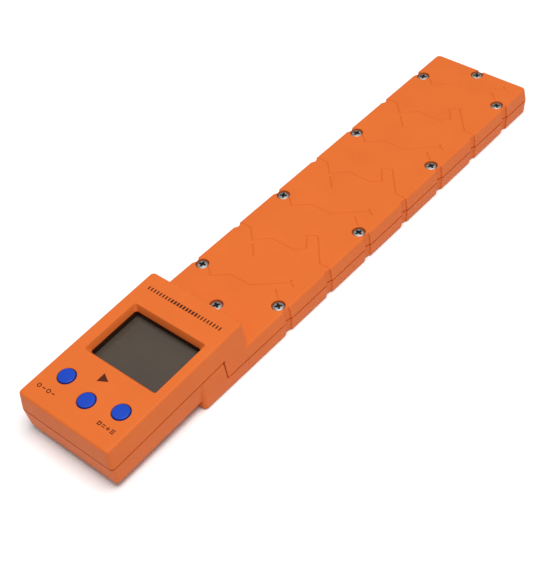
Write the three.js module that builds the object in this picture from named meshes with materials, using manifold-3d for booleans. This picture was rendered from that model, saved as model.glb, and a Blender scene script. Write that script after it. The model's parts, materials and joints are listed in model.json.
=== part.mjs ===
// Portable wheel scale: a flat weighing beam that a wheel rolls over, with a tilted display head at one end.
// Two moulded half shells close around three bending load cells between steel plates, an electronics stack
// and a battery compartment. Millimetres, +Z up, +X from the display head to the free end of the beam.
// The origin is at the middle of the underside of the whole object.
import * as THREE from "three";
import { mergeVertices } from "three/addons/utils/BufferGeometryUtils.js";
import Module from "manifold-3d";

const wasm = await Module();
wasm.setup();

// ---------------------------------------------------------------------------------------------------------
// Driving dimensions. Beam coordinates: x = 0 at the first pair of cover screws, z = 0 on the wheel platform.
// ---------------------------------------------------------------------------------------------------------
const GAP = 0.3; // clearance between neighbouring pieces

const SCREW_PITCH = 83;
const SCREW_PAIRS = 4;
const SCREW_ROW = 32.4; // each row of cover screws, from the centre line
const NECK_SCREW_X = -22.4;
const END_SCREW_X = 272.5;

const BEAM_HALF = 40; // half width at the parting line
const BEAM_END = 279.6;
const BEAM_DEPTH = 20.8;
const PARTING_Z = -10.2;
const BEAM_RIM_DRAFT = 1;
const BEAM_FOOT_DRAFT = 0.6;
const CORNER_RADIUS = 2.8;
const RIM_ROUND = 2;
const FOOT_ROUND = 1.2;
const ROUND_STEPS = 2;
const ARC_STEPS = 1;

// Recesses along both long sides, two per screw pitch: a ramp in, a slower floor back out, then a step.
// Each corner is [distance along the beam, depth].
const NOTCH_PROFILE = [
  [-3.1, 0],
  [-0.5, 1.6],
  [3, 0.9],
  [3.25, 0],
];
const NOTCH_COUNT = 7;
const TIP_NOTCH_DEPTH = 1.3;
const TIP_NOTCH_HALF_FLAT = 1.8;
const TIP_NOTCH_HALF_MOUTH = 4.2;

const SHOULDER_START = -79.5; // where the beam's lower half steps down below the head
const SHOULDER_END = -38.6;
const SHOULDER_RISE = 9;
const SHOULDER_DRAFT = 1.75;

const HEAD_TILT = THREE.MathUtils.degToRad(2.8); // the display end leans towards the reader
const HEAD_PLACE = new THREE.Vector3(-105, 0, 1.2); // origin of head coordinates, on the head's parting plane
const HEAD_FRONT = -48.4;
const HEAD_BACK = 68.8;
const HEAD_HALF = 38.8;
const HEAD_TOP = 15.3;
const HEAD_UNDER = -15.45;
const HEAD_RIM_DRAFT = 1.2;
const HEAD_FOOT_DRAFT = 1;
const HEAD_CORNER_RADIUS = 2.6;

const JOG_TOP_X = -58; // the parting line drops from the head's level to the beam's between these two
const JOG_FOOT_X = -57.7;
const BEYOND = 60; // how far cutting tools reach past the shells

const TOP_WALL = 3;
const FLOOR_WALL = 3.1;
const HEAD_WALL = 2.6;
const BEAM_CAVITY_HALF = 36.4;
const BEAM_CAVITY_X = [-76.6, 276.8];
const HEAD_CAVITY_HALF = 35.6;
const HEAD_CAVITY_X = [-45.6, 66.1];

const COVER_SCREW = { headRadius: 4, headHeight: 2.1, sink: 0.5, shaftRadius: 1.8, length: 15.6 };
const COUNTERBORE_RADIUS = 4.55;
const COUNTERBORE_DEPTH = COVER_SCREW.sink + COVER_SCREW.headHeight + GAP;
const UPPER_BOSS_RADIUS = 5.2;
const LOWER_BOSS_RADIUS = 4.6;

const WINDOW_X = [-0.9, 42.9]; // head coordinates
const WINDOW_Y = [-30.6, 28.2];
const WINDOW_SHROUD_WALL = 2.2;
const WINDOW_DEPTH = 7.2;
const WINDOW_SLOPE_DEPTH = 4; // its sides slope in down to here, then drop straight
const WINDOW_SLOPE_RUN = 2;
const PANE_LAP = 1.2;
const PANE_THICKNESS = 1.2;
const LCD_THICKNESS = 2.8;
const STRIP_HEIGHT = 2;
const BOARD_THICKNESS = 1.6;

const BUTTON_RADIUS = 5.5;
const BUTTON_HOLE_RADIUS = 6;
const BUTTON_PROUD = 0.8;
const BUTTONS = {
  power: [-21.9, 21.6],
  zero: [-27.7, -1.1],
  total: [-21.8, -23.8],
};
const KEY_BOARD_TOP = 4.5;

const HEAD_SCREWS = [
  [-41.5, 31.8],
  [-41.5, -31.8],
  [-8, 33],
  [-8, -33],
];
const HEAD_SCREW = { headRadius: 2.8, headHeight: 1.8, seat: -7.5, shaftRadius: 1.4, tip: 8 };
const HEAD_BOSS_RADIUS = 4;

const BAY_X = [-39.3, -16.8]; // battery bay, head coordinates
const BAY_HALF = 26.9;
const BAY_ROOF = -2;
const BAY_WALL = 1.5;
const DOOR_THICKNESS = 2.3;
const CELL_RADIUS = 5.2; // AAA cells
const CELL_LENGTH = 44.5;
const CONTACT_THICKNESS = 0.4;

const PLATE_X = [-14, 264]; // steel plates inside the beam
const PLATE_HALF = 23.5;
const LOAD_PLATE_THICKNESS = 3;
const BASE_PLATE_THICKNESS = 2.5;
const LOAD_CELL_X = [25, 125, 225];
const LOAD_CELL = { half: 30, halfWidth: 15, height: 6.4, pad: 0.8, padLength: 16, screw: 22 };

const STRIP_X = [-68, 268]; // anti-slip strips under the beam
const STRIP_Y = 24;
const STRIP_HALF_WIDTH = 7;
const STRIP_PROUD = 0.5;
const STRIP_SINK = 1.2;

// ---------------------------------------------------------------------------------------------------------
// Materials
// ---------------------------------------------------------------------------------------------------------
function finish(color, roughness, metalness = 0) {
  return new THREE.MeshStandardMaterial({ color, roughness, metalness });
}

const ORANGE = finish(0xee7038, 0.55);
const BLUE = finish(0x1a54d2, 0.45);
const STEEL = finish(0xb4b6b8, 0.3, 1);
const PLATE_STEEL = finish(0x8d9196, 0.4, 1);
const ALUMINIUM = finish(0xc6c9cc, 0.35, 1);
const GLASS = finish(0x5c5246, 0.1);
const LCD_GREY = finish(0x6b6658, 0.3);
const BOARD_GREEN = finish(0x1e5c36, 0.5);
const RUBBER = finish(0x232323, 0.9);
const BLACK = finish(0x1b1b1d, 0.5);
const WHITE = finish(0xe8e6dc, 0.5);
const SPRING_STEEL = finish(0xc9c7bd, 0.25, 1);
const CELL_SLEEVE = finish(0x3a4654, 0.4);

// ---------------------------------------------------------------------------------------------------------
// Shape helpers
// ---------------------------------------------------------------------------------------------------------

// A closed geometry as a solid that can be joined and cut.
function solid(geometry) {
  const bare = geometry.clone();
  bare.deleteAttribute("normal");
  bare.deleteAttribute("uv");
  const merged = mergeVertices(bare, 1e-4);
  const vertProperties = new Float32Array(merged.attributes.position.array);
  const triVerts = new Uint32Array(merged.index.array);
  return new wasm.Manifold(new wasm.Mesh({ numProp: 3, vertProperties, triVerts }));
}

function geometryOf(shape) {
  const mesh = shape.getMesh();
  const indexed = new THREE.BufferGeometry();
  indexed.setAttribute("position", new THREE.BufferAttribute(new Float32Array(mesh.vertProperties), 3));
  indexed.setIndex(new THREE.BufferAttribute(new Uint32Array(mesh.triVerts), 1));
  const flat = indexed.toNonIndexed();
  flat.computeVertexNormals();
  return flat;
}

const HEAD_MATRIX = new THREE.Matrix4().compose(
  HEAD_PLACE,
  new THREE.Quaternion().setFromAxisAngle(new THREE.Vector3(0, 1, 0), -HEAD_TILT),
  new THREE.Vector3(1, 1, 1),
);

// A geometry given in head coordinates, in beam coordinates.
function inHead(geometry) {
  return geometry.clone().applyMatrix4(HEAD_MATRIX);
}

function roundedRectangle([x0, x1], [y0, y1], radius) {
  const shape = new THREE.Shape();
  shape.moveTo(x0 + radius, y0);
  shape.absarc(x1 - radius, y0 + radius, radius, -Math.PI / 2, 0);
  shape.absarc(x1 - radius, y1 - radius, radius, 0, Math.PI / 2);
  shape.absarc(x0 + radius, y1 - radius, radius, Math.PI / 2, Math.PI);
  shape.absarc(x0 + radius, y0 + radius, radius, Math.PI, Math.PI * 1.5);
  return shape;
}

// An upright slab with rounded corners in plan.
function slab(x, y, [z0, z1], radius = 0.5) {
  const geometry = new THREE.ExtrudeGeometry(roundedRectangle(x, y, radius), {
    depth: z1 - z0,
    bevelEnabled: false,
    curveSegments: ARC_STEPS,
  });
  return geometry.translate(0, 0, z0);
}

function block([x0, x1], [y0, y1], [z0, z1]) {
  const geometry = new THREE.BoxGeometry(x1 - x0, y1 - y0, z1 - z0);
  return geometry.translate((x0 + x1) / 2, (y0 + y1) / 2, (z0 + z1) / 2);
}

function around(centre, half) {
  return [centre - half, centre + half];
}

// An upright cylinder.
function drum([x, y], radius, [z0, z1], segments = 12) {
  const geometry = new THREE.CylinderGeometry(radius, radius, z1 - z0, segments);
  return geometry.rotateX(Math.PI / 2).translate(x, y, (z0 + z1) / 2);
}

// A cylinder across the beam.
function crossDrum(x, z, radius, [y0, y1], segments = 12) {
  const geometry = new THREE.CylinderGeometry(radius, radius, y1 - y0, segments);
  return geometry.translate(x, (y0 + y1) / 2, z);
}

// A body of revolution about an upright axis, from [radius, z] pairs listed upwards.
function turned(profile, segments = 16) {
  const points = profile.map(([radius, z]) => new THREE.Vector2(radius, z));
  return new THREE.LatheGeometry(points, segments).rotateX(Math.PI / 2);
}

// A side profile in X and Z, extruded across the beam.
function sideProfile(points, halfWidth) {
  const shape = new THREE.Shape(points.map(([x, z]) => new THREE.Vector2(x, z)));
  const geometry = new THREE.ExtrudeGeometry(shape, { depth: 2 * halfWidth, bevelEnabled: false });
  return geometry.rotateX(Math.PI / 2).translate(0, halfWidth, 0);
}

// A closed body through plan outlines that all have the same number of points, from the lowest up.
function loft(levels) {
  const count = levels[0].points.length;
  const positions = levels.flatMap(({ z, points }) => points.flatMap((p) => [p.x, p.y, z]));
  const index = [];
  for (let level = 0; level + 1 < levels.length; level++) {
    for (let i = 0; i < count; i++) {
      const a = level * count + i;
      const b = level * count + ((i + 1) % count);
      index.push(a, b, b + count, a, b + count, a + count);
    }
  }
  const lid = (levels.length - 1) * count;
  for (const [a, b, c] of THREE.ShapeUtils.triangulateShape(levels[0].points, [])) {
    index.push(a, c, b);
  }
  for (const [a, b, c] of THREE.ShapeUtils.triangulateShape(levels.at(-1).points, [])) {
    index.push(lid + a, lid + b, lid + c);
  }
  const geometry = new THREE.BufferGeometry();
  geometry.setAttribute("position", new THREE.Float32BufferAttribute(positions, 3));
  geometry.setIndex(index);
  return geometry;
}

// Stations up a moulded wall: widest at the parting line, drafted both ways, rounded at its foot and rim.
function footStations(foot, draft, round) {
  return Array.from({ length: ROUND_STEPS + 1 }, (_, k) => {
    const turn = ((k / ROUND_STEPS) * Math.PI) / 2;
    return { z: foot + round * (1 - Math.cos(turn)), draft, round: round * (1 - Math.sin(turn)) };
  });
}

function rimStations(rim, draft, round) {
  return Array.from({ length: ROUND_STEPS + 1 }, (_, k) => {
    const turn = ((k / ROUND_STEPS) * Math.PI) / 2;
    return { z: rim - round * (1 - Math.sin(turn)), draft, round: round * (1 - Math.cos(turn)) };
  });
}

function moulded(outline, stations) {
  return loft(stations.map(({ z, draft, round }) => ({ z, points: outline(draft, round) })));
}

function union(shapes) {
  return shapes.reduce((sum, shape) => sum.add(shape));
}

// ---------------------------------------------------------------------------------------------------------
// Outer form of the two shells
// ---------------------------------------------------------------------------------------------------------

// One recess in a long side; side is 1 at -Y, and -1 at +Y, where the outline runs the other way.
function addNotch(shape, x, y, side) {
  const corners = side > 0 ? NOTCH_PROFILE : [...NOTCH_PROFILE].reverse();
  for (const [along, depth] of corners) {
    shape.lineTo(x + along, y + side * depth);
  }
}

function openOutline(shape) {
  const points = shape.getPoints(ARC_STEPS);
  if (points.at(-1).distanceTo(points[0]) < 1e-6) points.pop();
  return points;
}

function beamOutline(draft, round) {
  const half = BEAM_HALF - draft - round;
  const end = BEAM_END - draft - round;
  const start = SHOULDER_END;
  const radius = CORNER_RADIUS;
  const shape = new THREE.Shape();
  shape.moveTo(start, -half);
  for (let k = 0; k < NOTCH_COUNT; k++) {
    addNotch(shape, (k * SCREW_PITCH) / 2, -half, 1);
  }
  shape.absarc(end - radius, -half + radius, radius, -Math.PI / 2, 0);
  shape.lineTo(end, -TIP_NOTCH_HALF_MOUTH);
  shape.lineTo(end - TIP_NOTCH_DEPTH, -TIP_NOTCH_HALF_FLAT);
  shape.lineTo(end - TIP_NOTCH_DEPTH, TIP_NOTCH_HALF_FLAT);
  shape.lineTo(end, TIP_NOTCH_HALF_MOUTH);
  shape.absarc(end - radius, half - radius, radius, 0, Math.PI / 2);
  for (let k = NOTCH_COUNT - 1; k >= 0; k--) {
    addNotch(shape, (k * SCREW_PITCH) / 2, half, -1);
  }
  shape.lineTo(start, half);
  return openOutline(shape);
}

// The shoulder carries the beam's full depth under the back of the head.
function shoulderOutline(draft, round) {
  const half = BEAM_HALF - draft - round;
  const length = [SHOULDER_START + round, SHOULDER_END + 2];
  return openOutline(roundedRectangle(length, [-half, half], CORNER_RADIUS));
}

function headOutline(draft, round) {
  const half = HEAD_HALF - draft - round;
  const front = HEAD_FRONT + draft + round;
  const back = HEAD_BACK - round;
  return openOutline(roundedRectangle([front, back], [-half, half], HEAD_CORNER_RADIUS));
}

function windowOutline(inset) {
  const x = [WINDOW_X[0] + inset, WINDOW_X[1] - inset];
  const y = [WINDOW_Y[0] + inset, WINDOW_Y[1] - inset];
  return openOutline(roundedRectangle(x, y, 1));
}

const widest = (z) => ({ z, draft: 0, round: 0 });

const beamBlock = moulded(beamOutline, [
  ...footStations(-BEAM_DEPTH, BEAM_FOOT_DRAFT, FOOT_ROUND),
  widest(PARTING_Z),
  ...rimStations(0, BEAM_RIM_DRAFT, RIM_ROUND),
]);
const shoulderBlock = moulded(shoulderOutline, [
  ...footStations(-BEAM_DEPTH, BEAM_FOOT_DRAFT, FOOT_ROUND),
  widest(PARTING_Z),
  { z: SHOULDER_RISE, draft: SHOULDER_DRAFT, round: 0 },
]);
const headBlock = moulded(headOutline, [
  ...footStations(HEAD_UNDER, HEAD_FOOT_DRAFT, FOOT_ROUND),
  widest(0),
  ...rimStations(HEAD_TOP, HEAD_RIM_DRAFT, RIM_ROUND),
]);

const outerForm = union([solid(beamBlock), solid(shoulderBlock), solid(inHead(headBlock))]);

const cavity = union([
  solid(slab(BEAM_CAVITY_X, around(0, BEAM_CAVITY_HALF), [FLOOR_WALL - BEAM_DEPTH, -TOP_WALL], 3)),
  solid(
    inHead(
      slab(HEAD_CAVITY_X, around(0, HEAD_CAVITY_HALF), [HEAD_UNDER + HEAD_WALL, HEAD_TOP - HEAD_WALL], 2),
    ),
  ),
]);

// Height of the head's parting plane at x, in beam coordinates.
function headPartingZ(x) {
  return HEAD_PLACE.z + (x - HEAD_PLACE.x) * Math.tan(HEAD_TILT);
}

// Everything on one side of the stepped parting line; side is 1 for the upper shell and -1 for the lower.
function partingSide(side) {
  const shift = (side * GAP) / 2;
  const farLeft = HEAD_PLACE.x - 2 * BEYOND;
  const farRight = BEAM_END + BEYOND;
  const line = [
    [farLeft, headPartingZ(farLeft) + shift],
    [JOG_TOP_X + shift, headPartingZ(JOG_TOP_X) + shift],
    [JOG_FOOT_X + shift, PARTING_Z + shift],
    [farRight, PARTING_Z + shift],
  ];
  const closing = [
    [farRight, side * BEYOND],
    [farLeft, side * BEYOND],
  ];
  return solid(sideProfile([...line, ...closing], BEYOND));
}

// ---------------------------------------------------------------------------------------------------------
// Cover screw places
// ---------------------------------------------------------------------------------------------------------
const coverScrews = [];
for (let pair = 0; pair < SCREW_PAIRS; pair++) {
  coverScrews.push([pair * SCREW_PITCH, SCREW_ROW], [pair * SCREW_PITCH, -SCREW_ROW]);
}
coverScrews.push([NECK_SCREW_X, 0], [END_SCREW_X, 0]);

const keyPosts = [
  [-38, 11],
  [-38, -13],
];
const mainPosts = [
  [52, 24],
  [52, -24],
];

const paneTop = HEAD_TOP - WINDOW_DEPTH - GAP;
const lcdTop = paneTop - PANE_THICKNESS - GAP;
const stripTop = lcdTop - LCD_THICKNESS - GAP;
const mainBoardTop = stripTop - STRIP_HEIGHT - GAP;
const mainBoardUnder = mainBoardTop - BOARD_THICKNESS;
const keyBoardUnder = KEY_BOARD_TOP - BOARD_THICKNESS;
const postScrewHole = 1.25;
const shaftHole = COVER_SCREW.shaftRadius + GAP;
const headShaftHole = HEAD_SCREW.shaftRadius + GAP;

// ---------------------------------------------------------------------------------------------------------
// Upper shell: wheel platform and display face in one moulding
// ---------------------------------------------------------------------------------------------------------
function upperShell() {
  const wallLap = 0.4;
  const headInner = HEAD_TOP - HEAD_WALL + wallLap;
  const seam = GAP / 2;
  const shroud = slab(
    [WINDOW_X[0] - WINDOW_SHROUD_WALL, WINDOW_X[1] + WINDOW_SHROUD_WALL],
    [WINDOW_Y[0] - WINDOW_SHROUD_WALL, WINDOW_Y[1] + WINDOW_SHROUD_WALL],
    [HEAD_TOP - WINDOW_DEPTH, headInner],
    1.5,
  );
  const windowOpening = moulded(windowOutline, [
    { z: HEAD_TOP - WINDOW_DEPTH - 1, draft: WINDOW_SLOPE_RUN },
    { z: HEAD_TOP - WINDOW_SLOPE_DEPTH, draft: WINDOW_SLOPE_RUN },
    { z: HEAD_TOP, draft: 0 },
    { z: HEAD_TOP + 2, draft: 0 },
  ]);
  const added = [
    ...coverScrews.map((place) => drum(place, UPPER_BOSS_RADIUS, [PARTING_Z + seam, wallLap - TOP_WALL])),
    ...HEAD_SCREWS.map((place) => inHead(drum(place, HEAD_BOSS_RADIUS, [seam, headInner]))),
    ...keyPosts.map((place) => inHead(drum(place, 2.4, [KEY_BOARD_TOP + GAP, headInner], 8))),
    ...mainPosts.map((place) => inHead(drum(place, 2.4, [mainBoardTop + GAP, headInner], 8))),
    inHead(shroud),
  ];
  const removed = [
    ...coverScrews.map((place) => drum(place, COUNTERBORE_RADIUS, [-COUNTERBORE_DEPTH, 1], 20)),
    ...coverScrews.map((place) => drum(place, shaftHole, [PARTING_Z - 1, -1], 8)),
    ...HEAD_SCREWS.map((place) => inHead(drum(place, headShaftHole, [-1, HEAD_SCREW.tip + 1], 8))),
    ...keyPosts.map((place) => inHead(drum(place, postScrewHole, [KEY_BOARD_TOP, 10], 8))),
    ...mainPosts.map((place) => inHead(drum(place, postScrewHole, [mainBoardTop, 8], 8))),
    ...Object.values(BUTTONS).map((place) => inHead(drum(place, BUTTON_HOLE_RADIUS, [8, HEAD_TOP + 2], 24))),
    inHead(windowOpening),
  ];
  const walls = outerForm.intersect(partingSide(1)).subtract(cavity);
  return union([walls, ...added.map(solid)]).subtract(union(removed.map(solid)));
}

// ---------------------------------------------------------------------------------------------------------
// Lower shell: floor of the beam, underside of the head, battery bay
// ---------------------------------------------------------------------------------------------------------
function footStrip(outset, [z0, z1], y) {
  const half = STRIP_HALF_WIDTH + outset;
  return slab([STRIP_X[0] - outset, STRIP_X[1] + outset], around(y, half), [z0, z1], half - 0.01);
}

function lowerShell() {
  const wallLap = 0.4;
  const seam = -GAP / 2;
  const floor = FLOOR_WALL - BEAM_DEPTH - wallLap;
  const headFloor = HEAD_UNDER + HEAD_WALL - wallLap;
  const bayOuter = slab(
    [BAY_X[0] - BAY_WALL, BAY_X[1] + BAY_WALL],
    around(0, BAY_HALF + BAY_WALL),
    [headFloor, BAY_ROOF + BAY_WALL - GAP],
    0.8,
  );
  const added = [
    ...coverScrews.map((place) => drum(place, LOWER_BOSS_RADIUS, [floor, PARTING_Z + seam])),
    ...HEAD_SCREWS.map((place) => inHead(drum(place, HEAD_BOSS_RADIUS, [headFloor, seam]))),
    inHead(bayOuter),
  ];
  const shaftTip = -COVER_SCREW.sink - COVER_SCREW.headHeight - COVER_SCREW.length;
  const headRecess = HEAD_SCREW.headRadius + 0.4;
  const removed = [
    ...coverScrews.map((place) => drum(place, shaftHole, [shaftTip - GAP, PARTING_Z + 1], 8)),
    ...HEAD_SCREWS.map((place) => inHead(drum(place, headShaftHole, [-12, 1], 8))),
    ...HEAD_SCREWS.map((place) => inHead(drum(place, headRecess, [HEAD_UNDER - 2, HEAD_SCREW.seat], 14))),
    inHead(slab(BAY_X, around(0, BAY_HALF), [HEAD_UNDER - 2, BAY_ROOF], 0.4)),
    footStrip(GAP, [-BEAM_DEPTH - 1, -BEAM_DEPTH + STRIP_SINK], STRIP_Y),
    footStrip(GAP, [-BEAM_DEPTH - 1, -BEAM_DEPTH + STRIP_SINK], -STRIP_Y),
  ];
  const walls = outerForm.intersect(partingSide(-1)).subtract(cavity);
  return union([walls, ...added.map(solid)]).subtract(union(removed.map(solid)));
}

// ---------------------------------------------------------------------------------------------------------
// Fasteners
// ---------------------------------------------------------------------------------------------------------

// A pan-head screw, head up, with its seat at z = 0 and a cross recess.
function screw({ headRadius, headHeight, shaftRadius, length, recess }) {
  const profile = [
    [0, -length],
    [shaftRadius, -length + shaftRadius],
    [shaftRadius, 0],
    [headRadius, 0],
    [headRadius, headHeight * 0.5],
    [headRadius * 0.7, headHeight],
    [0, headHeight],
  ];
  const body = solid(turned(profile, recess ? 12 : 8));
  if (!recess) return body;
  const arm = headRadius * 0.56;
  const slot = headRadius * 0.11;
  const depth = [headHeight * 0.35, headHeight + 1];
  const cross = solid(block(around(0, arm), around(0, slot), depth));
  const across = solid(block(around(0, slot), around(0, arm), depth));
  return body.subtract(cross.add(across));
}

// ---------------------------------------------------------------------------------------------------------
// Weighing parts inside the beam
// ---------------------------------------------------------------------------------------------------------
const loadPlateTop = -TOP_WALL - GAP;
const loadPlateUnder = loadPlateTop - LOAD_PLATE_THICKNESS;
const basePlateUnder = FLOOR_WALL - BEAM_DEPTH + GAP;
const basePlateTop = basePlateUnder + BASE_PLATE_THICKNESS;
const cellPadTop = loadPlateUnder - GAP;
const cellPadUnder = basePlateTop + GAP;
const cellScrewRadius = 1.9;

function steelPlate(z, screwSide, counterboreZ) {
  const places = LOAD_CELL_X.map((x) => [x + screwSide * LOAD_CELL.screw, 0]);
  const holes = places.map((place) => solid(drum(place, cellScrewRadius + GAP, [z[0] - 1, z[1] + 1], 8)));
  const bores = places.map((place) => solid(drum(place, 4, counterboreZ)));
  return solid(slab(PLATE_X, around(0, PLATE_HALF), z, 6)).subtract(union([...holes, ...bores]));
}

// A bending cell: clamped at its -X end from below, loaded at its +X end from above, thinned between them.
function loadCell() {
  const middle = (cellPadTop + cellPadUnder) / 2;
  const body = around(middle, LOAD_CELL.height / 2);
  const width = around(0, LOAD_CELL.halfWidth);
  const pad = [LOAD_CELL.half - LOAD_CELL.padLength, LOAD_CELL.half];
  const waist = 5;
  const metal = union([
    solid(block(around(0, LOAD_CELL.half), width, body)),
    solid(block(pad, width, [middle, cellPadTop])),
    solid(block([-pad[1], -pad[0]], width, [cellPadUnder, middle])),
  ]);
  const reach = around(0, LOAD_CELL.halfWidth + 1);
  return metal.subtract(
    union([
      solid(crossDrum(-waist, middle, 2.2, reach)),
      solid(crossDrum(waist, middle, 2.2, reach)),
      solid(block(around(0, waist), reach, around(middle, 0.8))),
      solid(drum([LOAD_CELL.screw, 0], cellScrewRadius + GAP, [-30, 0], 8)),
      solid(drum([-LOAD_CELL.screw, 0], cellScrewRadius + GAP, [-30, 0], 8)),
    ]),
  );
}

// ---------------------------------------------------------------------------------------------------------
// Pieces of the head
// ---------------------------------------------------------------------------------------------------------
function board(x, halfWidth, z, posts) {
  const holes = posts.map((place) => solid(drum(place, postScrewHole, [z[0] - 1, z[1] + 1], 8)));
  return solid(slab(x, around(0, halfWidth), z, 1.5)).subtract(union(holes));
}

// A push button: round cap, retaining flange behind the wall and a stem, all about its own axis.
const flangeTop = HEAD_TOP - HEAD_WALL - GAP;
const stemUnder = 9.7;
const buttonProfile = [
  [0, stemUnder],
  [2.4, stemUnder],
  [2.4, flangeTop - 1],
  [7.6, flangeTop - 1],
  [7.6, flangeTop],
  [BUTTON_RADIUS, flangeTop],
  [BUTTON_RADIUS, HEAD_TOP + BUTTON_PROUD - 0.4],
  [BUTTON_RADIUS - 0.4, HEAD_TOP + BUTTON_PROUD],
  [0, HEAD_TOP + BUTTON_PROUD],
];

const switchUnder = KEY_BOARD_TOP + GAP;
const switchTop = 8.3;

function switchBody() {
  const body = solid(block(around(0, 3), around(0, 3), [switchUnder, switchTop]));
  return body.subtract(solid(drum([0, 0], 1.9, [switchUnder + 0.6, switchTop + 1])));
}

// A battery door that turns about its rounded front edge; the fingernail lip is at its back edge.
const doorHinge = { x: BAY_X[0] + GAP + DOOR_THICKNESS / 2, z: HEAD_UNDER + DOOR_THICKNESS / 2 };

function batteryDoor() {
  const half = BAY_HALF - GAP;
  const z = [HEAD_UNDER, HEAD_UNDER + DOOR_THICKNESS];
  const panel = block([doorHinge.x, BAY_X[1] - GAP], around(0, half), z);
  const edge = crossDrum(doorHinge.x, doorHinge.z, DOOR_THICKNESS / 2, around(0, half), 16);
  const lip = block([BAY_X[1] - GAP - 1.6, BAY_X[1]], around(0, 6), [HEAD_UNDER - 1, HEAD_UNDER + 0.8]);
  return solid(panel).add(solid(edge)).subtract(solid(lip));
}

// A dry cell lying along Y with its button end at +Y.
function dryCell() {
  const profile = [
    [0, 0],
    [CELL_RADIUS - 0.4, 0],
    [CELL_RADIUS, 0.4],
    [CELL_RADIUS, CELL_LENGTH - 1.2],
    [CELL_RADIUS - 0.5, CELL_LENGTH - 0.9],
    [1.9, CELL_LENGTH - 0.9],
    [1.9, CELL_LENGTH],
    [0, CELL_LENGTH],
  ];
  return turned(profile, 14).rotateX(-Math.PI / 2);
}

// A conical contact spring along Y, widest at y = 0.
function contactSpring(length) {
  const turns = 3.5;
  const wire = 0.35;
  const rise = length - 2 * wire;
  class Coil extends THREE.Curve {
    getPoint(t, target = new THREE.Vector3()) {
      const angle = t * turns * Math.PI * 2;
      const radius = 3.6 - 1.2 * t;
      return target.set(radius * Math.cos(angle), wire + rise * t, radius * Math.sin(angle));
    }
  }
  const section = new THREE.Shape();
  section.absarc(0, 0, wire, 0, Math.PI * 2);
  return new THREE.ExtrudeGeometry(section, {
    steps: 30,
    curveSegments: 2,
    bevelEnabled: false,
    extrudePath: new Coil(),
  });
}

// The cable that gathers the load cells' leads, along the beam and up to the main board.
function harness(plugEnd) {
  const side = 25.4;
  const low = -10.6;
  const path = new THREE.CatmullRomCurve3([
    new THREE.Vector3(250, side, low),
    new THREE.Vector3(170, side, low),
    new THREE.Vector3(80, side, low),
    new THREE.Vector3(0, side, low),
    new THREE.Vector3(-35, side - 1, low),
    new THREE.Vector3(-50, side - 5, low),
    new THREE.Vector3(plugEnd.x, plugEnd.y, plugEnd.z - 5),
    plugEnd,
  ]);
  const section = new THREE.Shape();
  section.absarc(0, 0, 1.1, 0, Math.PI * 2);
  return new THREE.ExtrudeGeometry(section, {
    steps: 30,
    curveSegments: 3,
    bevelEnabled: false,
    extrudePath: path,
  });
}

// ---------------------------------------------------------------------------------------------------------
// Assembly
// ---------------------------------------------------------------------------------------------------------
const scale = new THREE.Group();
const beam = new THREE.Group();
const head = new THREE.Group();
scale.add(beam);
beam.add(head);
head.position.copy(HEAD_PLACE);
head.rotation.y = -HEAD_TILT;

function piece(group, name, shape, material, place = [0, 0, 0]) {
  const geometry = shape.isBufferGeometry ? shape : geometryOf(shape);
  const mesh = new THREE.Mesh(geometry, material);
  mesh.name = name;
  mesh.position.set(...place);
  group.add(mesh);
  return mesh;
}

piece(beam, "upper_shell", upperShell(), ORANGE);
piece(beam, "lower_shell", lowerShell(), ORANGE);

const coverScrew = geometryOf(screw({ ...COVER_SCREW, recess: true }));
coverScrews.forEach(([x, y], k) => {
  const seat = -COVER_SCREW.sink - COVER_SCREW.headHeight;
  piece(beam, `cover_screw_${k + 1}`, coverScrew, STEEL, [x, y, seat]);
});

const headScrewLength = HEAD_SCREW.tip - HEAD_SCREW.seat + GAP;
const headScrew = geometryOf(screw({ ...HEAD_SCREW, length: headScrewLength, recess: false }));
HEAD_SCREWS.forEach(([x, y], k) => {
  const mesh = piece(head, `head_screw_${k + 1}`, headScrew, STEEL, [x, y, HEAD_SCREW.seat - GAP]);
  mesh.rotation.x = Math.PI;
});

const stripZ = [-BEAM_DEPTH - STRIP_PROUD, STRIP_SINK - GAP - BEAM_DEPTH];
piece(beam, "foot_strip_left", footStrip(0, stripZ, STRIP_Y), RUBBER);
piece(beam, "foot_strip_right", footStrip(0, stripZ, -STRIP_Y), RUBBER);

const loadPlate = steelPlate([loadPlateUnder, loadPlateTop], 1, [loadPlateTop - 1.8, 0]);
const basePlate = steelPlate([basePlateUnder, basePlateTop], -1, [-BEYOND, basePlateUnder + 1.4]);
piece(beam, "load_plate", loadPlate, PLATE_STEEL);
piece(beam, "base_plate", basePlate, PLATE_STEEL);

const cellMetal = geometryOf(loadCell());
const cellScrew = { headRadius: 3.6, shaftRadius: cellScrewRadius };
const topScrew = geometryOf(screw({ ...cellScrew, headHeight: 1.3, length: 8 }));
const baseScrew = geometryOf(screw({ ...cellScrew, headHeight: 1, length: 7 }));
LOAD_CELL_X.forEach((x, k) => {
  piece(beam, `load_cell_${k + 1}`, cellMetal, ALUMINIUM, [x, 0, 0]);
  piece(beam, `cell_top_screw_${k + 1}`, topScrew, STEEL, [x + LOAD_CELL.screw, 0, loadPlateTop - 1.8 + GAP]);
  const below = piece(beam, `cell_base_screw_${k + 1}`, baseScrew, STEEL, [
    x - LOAD_CELL.screw,
    0,
    basePlateUnder + 1.4 - GAP,
  ]);
  below.rotation.x = Math.PI;
});

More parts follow.
